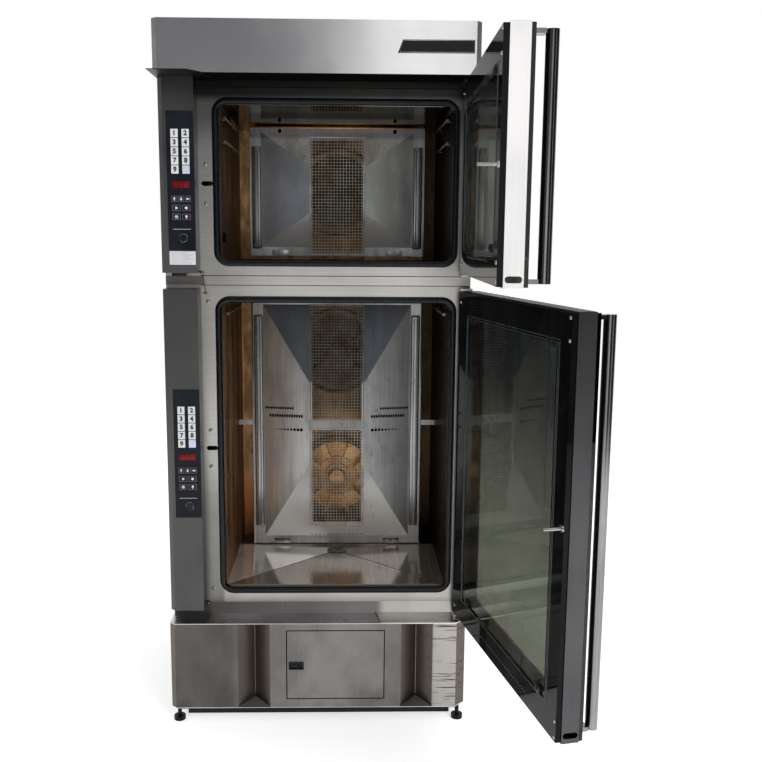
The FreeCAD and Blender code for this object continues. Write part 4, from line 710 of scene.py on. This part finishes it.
def wire_panel(shape, foot, head):
    """One welded guard: upright wires in front of cross wires, in a border of thicker rod."""
    left, right = MIDDLE_X - GUARD_HALF, MIDDLE_X + GUARD_HALF
    columns = round((right - left) / WIRE_PITCH)
    rows = round((head - foot) / WIRE_PITCH)
    for i in range(columns + 1):
        x = left + (right - left) * i / columns
        shape.rod((x, UPRIGHT_WIRE_Y, foot), (x, UPRIGHT_WIRE_Y, head),
                  BORDER_WIRE if i in (0, columns) else WIRE)
    for i in range(rows + 1):
        z = foot + (head - foot) * i / rows
        shape.rod((left, CROSS_WIRE_Y, z), (right, CROSS_WIRE_Y, z), BORDER_WIRE if i in (0, rows) else WIRE)


def fan_guards():
    """Wire guards in place of the plain holed sheets."""
    for node, (name, *panels) in GUARD_PANELS.items():
        shape = Shape()
        for foot, head in panels:
            wire_panel(shape, foot, head)
        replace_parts(shape.done(name, wire_steel, "wire_steel"), node)


# The foot and head of each baffle and of its channels.
BAFFLE_LEVELS = ((392, 1236, 456, 1170), (1365, 1765, 1386, 1708))
FOLD_IN, FOLD_WIDE = 2.75, 4.5
CHANNEL_IN, CHANNEL_WIDE, CHANNEL_Y = 22.5, 29, BAFFLE_Y - 13
FIXING_X = 184
TAB_Y = BAFFLE_Y - 2.6


def baffle_trim():
    """Edge folds, upright channels, air holes and fixing tabs on the sheets in front of the fans."""
    joint, folds, channels, holes, tabs = shapes(5)
    back = BAFFLE_Y - 0.2
    for side in SIDES:
        edge = MIDDLE_X + side * (BAFFLE_HALF - FOLD_IN)
        middle = MIDDLE_X + side * (BAFFLE_HALF - CHANNEL_IN)
        for low, high, foot, head in BAFFLE_LEVELS:
            folds.box((edge - FOLD_WIDE / 2, BAFFLE_Y - 8, low), (edge + FOLD_WIDE / 2, back, high), 1.6)
            channels.box((middle - CHANNEL_WIDE / 2, CHANNEL_Y, foot),
                         (middle + CHANNEL_WIDE / 2, back, head), 4.5, 4)
            for x in (middle - 5, middle + 5):
                channels.rod((x, CHANNEL_Y, foot + 8), (x, CHANNEL_Y, head - 8), 1.6)
        x = MIDDLE_X + side * FIXING_X
        holes.slot(x, 1757, 11, 15, BAFFLE_Y - 0.6, BAFFLE_Y - 0.1)
        for foot in (391, 1364):
            tabs.block(x, foot + 9, 54, 18, TAB_Y, back, 1.0)
            tabs.screw((x, TAB_Y, foot + 9), 4.6)
        for start, z, count, height in ((146, 862, 12, 8), (116, 836, 14, 10.5)):
            for i in range(count):
                punch(holes, side, start + 8.1 * i, z, 6.3, height)
        for i in range(9):
            size = 10.5 - i * 0.85
            punch(holes, side, 118 + i * 11.2, 790, size, size)
    for i in range(13):
        holes.slot(MIDDLE_X - 84 + i * 14, 424, 11, 5, BAFFLE_Y - 0.6, BAFFLE_Y - 0.1)
    joint.block(MIDDLE_X, 1767.75, 2 * BAFFLE_HALF, 4.5, BAFFLE_Y - 2.4, BAFFLE_Y + 1.6, 1.0)
    joint.done("roof_joint", fan_brown, "dark_steel")
    folds.done("baffle_folds", baffle_steel, "cavity_steel")
    channels.done("baffle_channels", channel_steel, "cavity_steel")
    # Dark slots in place of holes: painted shade.
    holes.done("baffle_holes", hollow, "dark_steel")
    tabs.done("baffle_tabs", baffle_steel, "cavity_steel")


def punch(shape, side, x, z, width, height):
    """One dark hole on a baffle's sloping side, x from the middle."""
    y = hip_face(x)
    shape.slot(MIDDLE_X + side * x, z, width, height + 0.01, y - 1.6, y - 0.2)


HIP_FOOT, HIP_RIDGE = 243, 92


def hip_face(x):
    """How far forward a baffle's sloping side stands at x from its middle."""
    share = (HIP_FOOT - abs(x)) / (HIP_FOOT - HIP_RIDGE)
    return BAFFLE_Y + (RIDGE_Y - BAFFLE_Y) * max(0.0, min(1.0, share))


FAN_HUBS = {"lower_fan_low": "fan_low", "lower_fan_high": "fan_high", "upper_fan": "fan_upper"}
HUB_Y = 86
HUB_PROFILE = [(70, 0.2), (69, 2), (58, 3.5), (47, 5), (45, 9), (39, 10), (31, 12), (28, 31), (22, 33),
               (12, 33.5), (11, 38), (6, 39), (0.5, 39)]


def fan_hubs():
    """A stepped dish with its nut on each fan's disc."""
    for node, body in FAN_HUBS.items():
        low, high = box_mm(node)
        hub = Shape()
        hub.turned(HUB_PROFILE, (MIDDLE_X, HUB_Y, (low.z + high.z) / 2), FORWARD, 40)
        hub.done(f"{node}_hub", fan_brown if node == "lower_fan_low" else fan_steel, "dark_steel", body)


DRAIN_X, DRAIN_Y, DRAIN_RADIUS = MIDDLE_X, -60, 25
PAN_FALL = 9
DRAIN_STEPS = 32


def floor_pan():
    """The lower chamber's floor: four shallow facets that fall to the drain."""
    low, high = box_mm("lower_floor_pan")
    bottom = high.z - PAN_FALL
    corners = [(low.x, low.y), (high.x, low.y), (high.x, high.y), (low.x, high.y)]
    pan, strainer, folds = shapes(3)
    rim = pan.loop((x, y, high.z) for x, y in corners)
    foot = pan.loop((x, y, low.z) for x, y in corners)
    turns = [atan2(y - DRAIN_Y, x - DRAIN_X) % tau for x, y in corners]
    angles = [tau * i / DRAIN_STEPS for i in range(DRAIN_STEPS)]
    mouth = pan.loop((DRAIN_X + DRAIN_RADIUS * cos(a), DRAIN_Y + DRAIN_RADIUS * sin(a), bottom)
                     for a in angles)
    for i in range(4):
        j = (i + 1) % 4
        first, last = (round(turns[k] / tau * DRAIN_STEPS) for k in (i, j))
        if last < first:
            last += DRAIN_STEPS
        arc = [mouth[k % DRAIN_STEPS] for k in range(first, last + 1)]
        pan.face([rim[i], rim[j]] + list(reversed(arc)))
        pan.face((rim[i], foot[i], foot[j], rim[j]))
    pan.face(foot)
    pan.face(mouth)
    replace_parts(pan.done("floor_pan_facets", pan_steel, "cavity_steel", smooth=0), "lower_floor_pan")
    strainer.turned([(20, 0), (31, 0.3), (32, 2), (29, 3), (20, 2.4)], (DRAIN_X, DRAIN_Y, bottom), UPWARD, 32)
    strainer.done("drain_ring", rack_steel, "dark_steel")
    for x in (low.x + 1, high.x - 1):
        start = DRAIN_X + copysign(DRAIN_RADIUS, x - DRAIN_X)
        folds.rod((start, DRAIN_Y - DRAIN_RADIUS, bottom + 0.5), (x, low.y + 1, high.z - 0.2), 0.7)
    folds.done("pan_folds", channel_steel, "cavity_steel")


ROOF_FRONT_Z, ROOF_FALL, ROOF_HALF = 1785, 13.5, 326.4
ROOF_GAUGE = 0.8
CHAMBER_BACK_Y = 120


def roof_liner():
    """The upper chamber's polished ceiling sheet, which falls to the back and has folded edges."""
    left, right = MIDDLE_X - ROOF_HALF, MIDDLE_X + ROOF_HALF
    front, back = FRAME_Y + 2, CHAMBER_BACK_Y - 1
    shape = Shape()
    shape.box((left, front, -0.9), (right, back, -0.1))
    for x in (left, right - ROOF_GAUGE):
        shape.box((x, front, -7), (x + ROOF_GAUGE, back, -0.9), 0.3)
    for vertex in shape.mesh.verts:
        vertex.co.z += ROOF_FRONT_Z - ROOF_FALL * (vertex.co.y - FRAME_Y) / (CHAMBER_BACK_Y - FRAME_Y)
    shape.done("roof_liner", roof_mirror, "cavity_steel")


SEAL_WIDTH, SEAL_CORNER = 19, 42
SEAL_PROFILE = [(0.0, 0.0), (0.03, 0.5), (0.13, 0.82), (0.3, 0.97), (0.5, 1.0), (0.7, 0.97), (0.87, 0.82),
                (0.97, 0.5), (1.0, 0.0)]


def round_path(left, foot, right, head, radius, steps=8):
    """Points round a rectangle with round corners, seen from the front."""
    corners = ((right - radius, head - radius, 0), (left + radius, head - radius, 90),
               (left + radius, foot + radius, 180), (right - radius, foot + radius, 270))
    points = []
    for x, z, start in corners:
        for i in range(steps + 1):
            angle = radians(start + 90 * i / steps)
            points.append((x + radius * cos(angle), z + radius * sin(angle)))
    return points


def door_seals():
    """The rubber rings round both openings: a bulb that is swept round the corners."""
    for deck, node in zip(DOORS, both("door_seal")):
        low, high = box_mm(node)
        shape = Shape()
        loops = []
        for along, rise in SEAL_PROFILE:
            inset = along * SEAL_WIDTH
            y = high.y - rise * (high.y - low.y)
            path = round_path(low.x + inset, low.z + inset, high.x - inset, high.z - inset,
                              SEAL_CORNER - inset)
            loops.append(shape.loop((x, y, z) for x, z in path))
        for first, second in zip(loops, loops[1:] + loops[:1]):
            shape.skirt(first, second)
        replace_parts(shape.done(f"{deck}_seal_bulb", rubber, "seal_rubber", smooth=50), node)


# A control panel's layout; each level is measured down from the panel's top.
KEY_WIDTH, KEY_HEIGHT, KEY_PITCH = 20, 22.4, 24.1
KEYS_DOWN, DISPLAY_DOWN, ARROWS_DOWN, FUNCTIONS_DOWN, LINE_DOWN, SWITCH_DOWN = 48, 195, 234, 258.5, 316, 340
ARROW_TURNS = (90, 270, 180)
PRINT_BACK = PANEL_Y - 0.9
PRINT = (PANEL_Y - 1.3, PRINT_BACK)
SWITCH_RING = [(10.2, 0.0), (11.6, 0.3), (12.0, 1.2), (11.4, 1.8), (10.2, 1.6)]


def key_pad(shape, x, z, width, height):
    """One raised key of a control panel."""
    shape.block(x, z, width, height, PANEL_Y - 1, PANEL_Y + 0.2, 0.7)


def control_prints():
    """Keys, digits, signs and display of both control panels."""
    white, clear, dark, rims, ticks, icons, screens, segments, rings = shapes(9)
    for deck, top in PANEL_TOPS.items():
        for row in range(5):
            for column in range(2):
                x = PANEL_X + (column - 0.5) * 30
                z = top - KEYS_DOWN - KEY_HEIGHT / 2 - row * KEY_PITCH
                blank = (row, column) == (4, 1)
                key_pad(clear if blank else white, x, z, KEY_WIDTH, KEY_HEIGHT)
                if not blank:
                    digit = str(2 * row + column + 1)
                    lettering(f"{deck}_digit_{digit}", digit, 18, x, PANEL_Y - 1.1, z, ink)
        z = top - DISPLAY_DOWN
        screens.block(PANEL_X, z, 48, 18, PANEL_Y - 1.1, PANEL_Y + 0.2, 0.8)
        for place_x in (-12.5, 0, 12.5):
            seven_segments(segments, PANEL_X + place_x, z, 7.2, 12)
        z = top - ARROWS_DOWN
        for i, turn in enumerate(ARROW_TURNS):
            x = PANEL_X + (i - 1) * 18.5
            key_pad(dark, x, z, 14, 16)
            outline(rims, x, z, 15, 16, 0.6)
            arrow(icons, x, z, turn)
        for row in range(2):
            for column in range(2):
                x = PANEL_X + (column - 0.5) * 27
                z = top - FUNCTIONS_DOWN - row * 24
                key_pad(dark, x, z, 22, 17)
                outline(rims, x, z, 22, 16, 0.6)
                ticks.slot(x + (column - 0.5) * 20, z, 1.8, 8, PANEL_Y - 1.4, PRINT_BACK)
                sign(icons, x, z, 2 * row + column)
        icons.slot(PANEL_X, top - LINE_DOWN, 50, 0.9, PANEL_Y - 0.3, PANEL_Y + 0.1)
        rings.turned(SWITCH_RING, (PANEL_X + 4, PANEL_Y, top - SWITCH_DOWN), FORWARD, 32)
    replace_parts(white.done("number_keys", key_white, "key_white"), "control_keys")
    clear.done("clear_keys", key_blue, "key_white")
    dark.done("function_keys", key_dark, "panel_film")
    rims.done("key_rims", key_rim, "panel_film")
    ticks.done("key_ticks", key_red, "panel_film")
    icons.done("key_signs", icon_white, "key_white")
    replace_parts(screens.done("display_windows", display_red, "display_red"), "displays")
    segments.done("display_digits", segment_red, "display_red")
    rings.done("switch_rings", screw_steel, "stainless")


def arrow(shape, x, z, turn):
    """A printed arrow: its head and a short stem."""
    across, up = cos(radians(turn)), sin(radians(turn))
    shape.sheet(triangle(x + 1.6 * across, z + 1.6 * up, 4.2, turn), *PRINT)
    shape.slot(x - 2.6 * across, z - 2.6 * up, 5.4, 2.2, *PRINT, turn)


def triangle(x, z, size, turn):
    """Three corners of an arrow that points along turn degrees."""
    angles = [radians(turn + i * 120) for i in range(3)]
    return [(x + size * cos(a), z + size * sin(a)) for a in angles]


def outline(shape, x, z, width, height, line):
    """A thin printed frame."""
    front = PANEL_Y - 1.2
    for side in SIDES:
        shape.block(x + side * (width - line) / 2, z, line, height, front, PRINT_BACK, 0.1, 1)
        shape.block(x, z + side * (height - line) / 2, width - 2 * line, line, front, PRINT_BACK, 0.1, 1)


def sign(shape, x, z, kind):
    """A plain sign on a function key: run, stop, fan or lamp."""
    if kind == 0:
        shape.sheet(triangle(x, z, 5, 0), *PRINT)
    elif kind == 1:
        shape.slot(x, z, 8, 7.6, *PRINT)
    elif kind == 2:
        for turn in (0, 60, 120):
            shape.slot(x, z, 11, 2, *PRINT, turn)
    else:
        shape.slot(x, z + 1.2, 7, 6.8, *PRINT)
        shape.slot(x, z - 4, 4, 1.6, *PRINT)


SEGMENT_LINE = 1.5


def seven_segments(shape, x, z, width, height):
    """One figure of the display, all seven bars."""
    front, back = PANEL_Y - 1.35, PANEL_Y - 1.0
    for level in (-1, 0, 1):
        shape.slot(x, z + level * height / 2, width - SEGMENT_LINE, SEGMENT_LINE, front, back)
    for side in SIDES:
        for half in SIDES:
            shape.slot(x + side * width / 2, z + half * height / 4, SEGMENT_LINE, height / 2 - SEGMENT_LINE,
                       front, back)


LABEL_RULES = (40, 58, 52, 60, 46, 56)
NAMEPLATE = [(212, 1903), (415, 1904), (415, 1938), (225, 1937)]
NAMEPLATE_RIM = [(216, 1905), (413, 1906), (413, 1936), (227, 1935)]


def bare_plates():
    """The white label under the upper panel, with plain rules, and the hood's plate, left bare."""
    label, rules, plate, rim = shapes(4)
    label.box((PANEL_X - 36, PANEL_Y + 2.0, 1346), (PANEL_X + 36, PANEL_Y + 3.2, 1383), 0.4)
    label.done("blank_label", label_white, "key_white")
    for i, length in enumerate(LABEL_RULES):
        x = PANEL_X - 31 + length / 2
        rules.slot(x, 1378 - 5.4 * i, length, 1.1, PANEL_Y + 1.8, PANEL_Y + 2.1)
    rules.done("label_rules", key_rim, "key_white")
    plate.sheet(NAMEPLATE, HOOD_FRONT_Y - 1.6, HOOD_FRONT_Y + 0.2)
    plate.done("blank_nameplate", plate_dark, "black_plastic")
    y = HOOD_FRONT_Y - 1.7
    for start, end in zip(NAMEPLATE_RIM, NAMEPLATE_RIM[1:] + NAMEPLATE_RIM[:1]):
        rim.rod((start[0], y, start[1]), (end[0], y, end[1]), 0.8)
    rim.done("nameplate_rim", screw_steel, "stainless")


# The dark joints across the front, each with its level and height, and the levels of the frames' screws.
DECK_SEAMS = ((1287.2, 2.2), (1313.8, 2.2), (1832, 2))
SEAM_X, SEAM_LENGTH = 49, 768
FRAME_SCREWS = (1624, 1516, 865, 757, 382, 1241)
FRAME_SCREW_X = -315
TIE_TOP_X, TIE_BEND_X, TIE_FOOT_X = -331, -326, -322
TIE_RADIUS = 1.3
TIE_HEAD = [(6, 0), (6.5, 3), (5, 8), (0.5, 10)]
TIE_END = [(4, 0), (6, 1.5), (6, 4), (3, 6), (0.5, 6.5)]
SCREW_WASHER = [(6.2, 0), (6.2, 0.5), (5.2, 0.8), (5.0, 0.5)]


def column_details():
    """The stop under the upper column, dark joints of the decks, the panels' ties and frame screws."""
    stop, seams, ties, heads = shapes(4)
    stop.box((-406, -461, 1314), (-368, -436, 1323.4), 1.5)
    stop.done("column_stop", black_plastic, "black_plastic")
    for z, height in DECK_SEAMS:
        seams.block(SEAM_X, z, SEAM_LENGTH, height, FRAME_Y - 0.5, FRAME_Y + 0.4, 0.4, 1)
    seams.done("deck_seams", hollow, "dark_steel")
    for top, foot in ((1330, 1262), (345, 309)):
        bend = (TIE_BEND_X, FRAME_Y - 7, (top + foot) / 2 - 6)
        ties.turned(TIE_HEAD, (TIE_TOP_X, FRAME_Y - 0.4, top - 8), FORWARD, 14)
        ties.rod((TIE_TOP_X, FRAME_Y - 6, top - 8), bend, TIE_RADIUS)
        ties.rod(bend, (TIE_FOOT_X, FRAME_Y - 6, foot + 6), TIE_RADIUS)
        ties.turned(TIE_END, (TIE_FOOT_X, FRAME_Y - 6, foot), UPWARD, 14)
    ties.done("panel_ties", tie_brass, "brass")
    for z in FRAME_SCREWS:
        heads.turned(SCREW_WASHER, (FRAME_SCREW_X, FRAME_Y, z), FORWARD, 18)
        heads.screw((FRAME_SCREW_X, FRAME_Y - 0.5, z), 4.7)
    heads.done("frame_screw_heads", screw_steel, "stainless")


CASING_SCREW_LEVELS = range(372, 1820, 240)
CASING_SCREW_RADIUS, CASING_SCREW_IN = 4.2, 18
LOUVRE_LENGTH, LOUVRE_PITCH, LOUVRE_COUNT = 190, 24, 8
LOUVRE_STARTS, LOUVRE_FEET = (-300, 110), (900, 1420)
COVER_LEVELS = (330, 1080, 1830)
COVER_IN = 36


def casing_details():
    """Screws on the side and rear panels, the rear cover's folded border and its pressed louvres."""
    screws, pressed, gaps, border = shapes(4)
    rear = CASING_REAR_Y
    for z in CASING_SCREW_LEVELS:
        for x in (CASING_LEFT + CASING_SCREW_IN, CASING_RIGHT - CASING_SCREW_IN):
            screws.screw((x, rear, z), CASING_SCREW_RADIUS, BACKWARD)
        for y in (rear - CASING_SCREW_IN, FRAME_Y + 40):
            for x, side in zip((CASING_LEFT, CASING_RIGHT), SIDES):
                screws.screw((x, y, z), CASING_SCREW_RADIUS, (side, 0, 0))
    screws.done("casing_screws", screw_steel, "stainless")
    for foot in LOUVRE_FEET:
        for row in range(LOUVRE_COUNT):
            z = foot + row * LOUVRE_PITCH
            for x in LOUVRE_STARTS:
                pressed.box((x, rear - 1, z), (x + LOUVRE_LENGTH, rear + 5, z + 11), 4.5, 3)
                gaps.slot(x + LOUVRE_LENGTH / 2, z - 1.2, LOUVRE_LENGTH - 12, 2.4, rear - 0.5, rear + 0.4)
    pressed.done("rear_louvres", casing_steel, "stainless")
    # Dark slots in the louvres' mouths: painted shade.
    gaps.done("louvre_mouths", hollow, "black_metal")
    left, right = CASING_LEFT + COVER_IN, CASING_RIGHT - COVER_IN
    for x in (left, right):
        border.box((x - 1.2, rear - 0.5, COVER_LEVELS[0]), (x + 1.2, rear + 1.2, COVER_LEVELS[-1]), 0.8)
    for z in COVER_LEVELS:
        border.box((left, rear - 0.5, z - 1.2), (right, rear + 1.2, z + 1.2), 0.8)
    border.done("rear_cover_border", casing_steel, "stainless")


SHELF_LIP = [(163, -366), (168, -400), (174, -440), (181, -487), (408, -487), (408, -366)]
SKIRT_LEFT, SKIRT_RIGHT, SKIRT_FOOT = -418, 416, 34
GROOVE_OUT, GROOVE_HALF, GROOVE_FOOT = 239.5, 46, 49
SLIDER_BUTTON = [(3.4, 0), (3.6, 1.0), (2.4, 1.6), (0.3, 1.7)]


def base_details():
    """The shelf's lip with a painted shade line along its step, the plinth's near-black skirt as painted
    shade under the base, the grooves' floors, the hatch's slider.
    """
    lip, step_shade, skirt, floors, creases, slider = shapes(6)
    z = BASE_TOP_Z
    lip.prism([(x, y, z - 0.2) for x, y in SHELF_LIP], [(x, y, z + 1.4) for x, y in SHELF_LIP])
    lip.done("shelf_lip", lip_steel, "stainless")
    # Painted shade lines along the foot of the lip's step and down the frame beside it.
    for (x, y), (next_x, next_y) in zip(SHELF_LIP[:4], SHELF_LIP[1:4]):
        step_shade.rod((x - 0.6, y, z + 0.7), (next_x - 0.6, next_y, z + 0.7), 1.1)
    start, end = SHELF_LIP[0][0] - 1.5, SHELF_LIP[1][0] - 0.6
    step_shade.rod((start, FRAME_Y - 0.2, z + 28), (end, FRAME_Y - 0.2, z + 1), 0.9)
    step_shade.done("shelf_step_shade_line", shade_and_fittings_black, "black_metal")
    # Near-black skirt: painted shade under the base.
    for back, head in ((-471, 48.6), (-461, 36)):
        skirt.box((SKIRT_LEFT, -473, SKIRT_FOOT), (SKIRT_RIGHT, back, head), 0.5)
    skirt.done("plinth_shade_skirt", black_paint, "black_metal")
    for side in SIDES:
        x = MIDDLE_X + side * GROOVE_OUT
        points = ((x - GROOVE_HALF, 0.4, 0), (x + GROOVE_HALF, 0.4, 0), (x, 39, 0), (x, 38.6, 15))
        left, right, back, apex = floors.loop((a, BASE_FRONT_Y + b, GROOVE_FOOT + c) for a, b, c in points)
        for corners in ((left, right, back), (left, apex, right), (left, back, apex), (right, apex, back)):
            floors.face(corners)
        creases.rod((x, BASE_FRONT_Y + 38.8, 66), (x, BASE_FRONT_Y + 38.8, 305), 0.45)
    floors.done("groove_floors", casing_steel, "stainless", smooth=0)
    creases.done("groove_creases", screw_steel, "stainless")
    low, high = box_mm("hatch_pull")
    middle = (low.z + high.z) / 2
    slider.box((low.x + 8, low.y - 0.8, middle - 5), (high.x - 8, low.y + 0.6, middle - 1), 0.5)
    slider.turned(SLIDER_BUTTON, ((low.x + high.x) / 2, low.y, middle + 5), FORWARD, 18)
    slider.done("hatch_slider", plate_dark, "black_plastic", "hatch")


BORDER_WIDE, BORDER_HIGH = 62, 56
DOOR_RIGHT = 6
DOT_COUNT, DOT_PITCH = 28, 14.5
DOT_PROFILE = [(2.0, 0), (2.2, 0.4), (1.2, 0.9), (0.2, 1.0)]
PANE_IN = 73
SEAL_GAP = 1.5


def door_details(deck):
    """Border, screws, pane clips, cap, dots and glass seams of one door, drawn in the door's frame."""
    door = DOORS[deck]
    foot, head = door["foot"], door["head"]
    border, screws, clips, cap, dots, seams = shapes(6)
    left, right = DOOR_FREE_X + 4, DOOR_RIGHT
    low, high = foot + 4 + BORDER_HIGH, head - 4 - BORDER_HIGH
    for x, z, end, top in ((left, foot + 4, right, low), (left, high, right, head - 4),
                           (left, low, left + BORDER_WIDE, high), (right - BORDER_WIDE, low, right, high)):
        border.box((x, DOOR_GLASS_Y - 0.35, z), (end, DOOR_GLASS_Y - 0.05, top), 0.1, 1)
    border.done(f"{deck}_glass_border", black_paint, "black_metal", deck=deck)
    for x, levels in ((DOOR_FREE_X + 9, (head - 12, head - 60, foot + 52, foot + 14)),
                      (-12, (head - 30, foot + 30))):
        for z in levels:
            screws.screw((x, DOOR_INNER_Y, z), 4.4, BACKWARD)
    screws.done(f"{deck}_door_screws", screw_steel, "stainless", deck=deck)
    for x in (PANE_LEFT + 40, PANE_RIGHT - 40):
        for z in (foot + 80, head - 74):
            clips.block(x, z, 28, 18, DOOR_INNER_Y - 6, DOOR_INNER_Y + 2.5, 1.6)
            clips.screw((x, DOOR_INNER_Y + 2.5, z), 3.6, BACKWARD)
    clips.done(f"{deck}_pane_clips", black_plastic, "black_plastic", deck=deck)
    cap.box((DOOR_FREE_X + 3, -29, head - 0.2), (8, 11, head + 0.9), 0.4, 1)
    cap.done(f"{deck}_door_cap", black_paint, "black_metal", deck=deck)
    for i in range(DOT_COUNT):
        x = PANE_LEFT + 100 + i * DOT_PITCH
        dots.turned(DOT_PROFILE, (x, DOOR_INNER_Y, door["dots"]), BACKWARD, 10)
    dots.done(f"{deck}_rail_dots", glass_edge, "dark_steel", deck=deck)
    y = DOOR_INNER_Y + 0.2
    for margin in (3, 10):
        left, right = PANE_LEFT - margin, PANE_RIGHT + margin
        low = max(foot + PANE_IN - margin, door["sill"] + SEAL_GAP)
        high = min(head - PANE_IN + margin, door["lintel"] - SEAL_GAP)
        for x in (left, right):
            seams.rod((x, y, low), (x, y, high), 0.7, 6)
        for z in (low, high):
            seams.rod((left, y, z), (right, y, z), 0.7, 6)
    seams.done(f"{deck}_glass_seams", glass_edge, "tinted_glass", deck=deck)


# The viewpoint was fitted to the photograph: angles in radians, place in metres.
CAMERA_YAW, CAMERA_PITCH, CAMERA_ROLL = 0.0238, 0.1551, -0.0063
CAMERA_PLACE = (0.06988, -3.04337, 1.42513)


def set_camera():
    """The photograph's viewpoint."""
    yaw, pitch, roll = CAMERA_YAW, CAMERA_PITCH, CAMERA_ROLL
    forward = Vector((sin(yaw) * cos(pitch), cos(yaw) * cos(pitch), -sin(pitch)))
    level = Vector((cos(yaw), -sin(yaw), 0))
    down = forward.cross(level)
    right = cos(roll) * level + sin(roll) * down
    down = -sin(roll) * level + cos(roll) * down
    data = bpy.data.cameras.new("camera")
    data.sensor_width = 36
    data.lens = 43.526
    data.shift_x = 0.0215
    camera = place("camera", data)
    turn = Matrix((right, -down, -forward)).transposed().to_4x4()
    camera.matrix_world = Matrix.Translation(CAMERA_PLACE) @ turn
    bpy.context.scene.camera = camera


WHITE = (1, 1, 1, 1)
WORLD_LIGHT = 0.55


def shown_straight(tree):
    """1 for what the camera sees, straight or in metal and glass, and 0 for light on the object."""
    path = tree.nodes.new("ShaderNodeLightPath")
    shown = path.outputs["Is Camera Ray"]
    for other in ("Is Glossy Ray", "Is Transmission Ray"):
        join = tree.nodes.new("ShaderNodeMath")
        join.operation = "MAXIMUM"
        tree.links.new(shown, join.inputs[0])
        tree.links.new(path.outputs[other], join.inputs[1])
        shown = join.outputs["Value"]
    return shown


def studio():
    """White surroundings, a pale floor, cards and soft lamps."""
    scene = bpy.context.scene
    scene.view_settings.view_transform = "Standard"
    scene.world = bpy.data.worlds.new("studio")
    scene.world.use_nodes = True
    tree = scene.world.node_tree
    sky = tree.nodes["Background"]
    sky.inputs["Color"].default_value = WHITE
    level = tree.nodes.new("ShaderNodeMapRange")
    level.inputs["To Min"].default_value = WORLD_LIGHT
    level.inputs["To Max"].default_value = 1.0
    tree.links.new(shown_straight(tree), level.inputs["Value"])
    tree.links.new(level.outputs["Result"], sky.inputs["Strength"])
    floor()
    cards()
    lamps()


def backdrop(name, corners, material, unseen_by=()):
    """A flat sheet of the studio, which is no piece of the part."""
    mesh = bpy.data.meshes.new(name)
    mesh.from_pydata(corners, [], [(0, 1, 2, 3)])
    mesh.materials.append(material)
    sheet = place(name, mesh)
    for ray in unseen_by:
        setattr(sheet, f"visible_{ray}", False)


FLOOR_REACH = 60.0
FLOOR_GREY, FLOOR_PALE = (0.93, 0.93, 0.93, 1), (0.96, 0.96, 0.96, 1)


def floor():
    """A pale floor that shows white and keeps the object's shadow."""
    g = Graph("floor_paint")
    paint = g.put(Base_Color=g.tint(g.noise(1.5), FLOOR_GREY, FLOOR_PALE), Roughness=0.9,
                  Specular_IOR_Level=0.0, Emission_Color=WHITE,
                  Emission_Strength=g.times(shown_straight(g.tree), 0.5))
    reach = FLOOR_REACH
    backdrop("floor", [(-reach, -reach, 0), (reach, -reach, 0), (reach, reach, 0), (-reach, reach, 0)], paint)


CARDS = {
    "card_high": ((-7.0, -4.6, 1.9), (0.18, -4.6, 6.0), rgb(127, 128, 131)),
    "card_right": ((1.15, -4.6, 0.05), (4.4, -4.6, 4.0), rgb(58, 56, 55)),
    "card_left": ((-7.0, -4.6, 0.1), (-0.7, -4.6, 1.9), rgb(110, 108, 106)),
    "card_left_side": ((-4.2, -4.6, 0.05), (-4.2, 0.5, 4.0), rgb(46, 45, 45)),
    "card_right_side": ((4.4, -4.0, 0.05), (4.4, 0.5, 4.0), rgb(72, 66, 62)),
}


def cards():
    """Dark cards round the front, which only the steel and the glass show."""
    for name, (low, high, colour) in CARDS.items():
        g = Graph(f"{name}_cloth")
        cloth = g.put(Base_Color=g.tint(g.noise(2.0), shade(colour, 0.8), colour), Roughness=1.0,
                      Specular_IOR_Level=0.0)
        corners = [low, (high[0], high[1], low[2]), high, (low[0], low[1], high[2])]
        backdrop(name, corners, cloth, ("camera", "shadow", "diffuse", "transmission"))


# Each lamp's place, size and power.
LAMPS = {
    "key_lamp": ((2.4, -3.8, 2.6), 2.4, 95),
    "fill_lamp": ((-2.8, -3.2, 1.6), 2.2, 16),
    "back_lamp": ((0.5, 3.4, 3.0), 2.6, 50),
}
LAMP_AIM = Vector((0.0, -0.3, 1.0))


def lamps():
    """Soft lamps, the strongest at the front right; the steel doesn't mirror them."""
    for name, (spot, size, power) in LAMPS.items():
        data = bpy.data.lights.new(name, "AREA")
        data.size = size
        data.energy = power
        lamp = place(name, data)
        lamp.location = spot
        lamp.visible_glossy = False
        lamp.rotation_euler = (LAMP_AIM - Vector(spot)).to_track_quat("-Z", "Y").to_euler()


def main():
    set_camera()
    studio()
    dress_nodes()
    fan_guards()
    baffle_trim()
    fan_hubs()
    floor_pan()
    roof_liner()
    door_seals()
    control_prints()
    bare_plates()
    column_details()
    base_details()
    casing_details()
    for deck in DOORS:
        door_details(deck)


main()
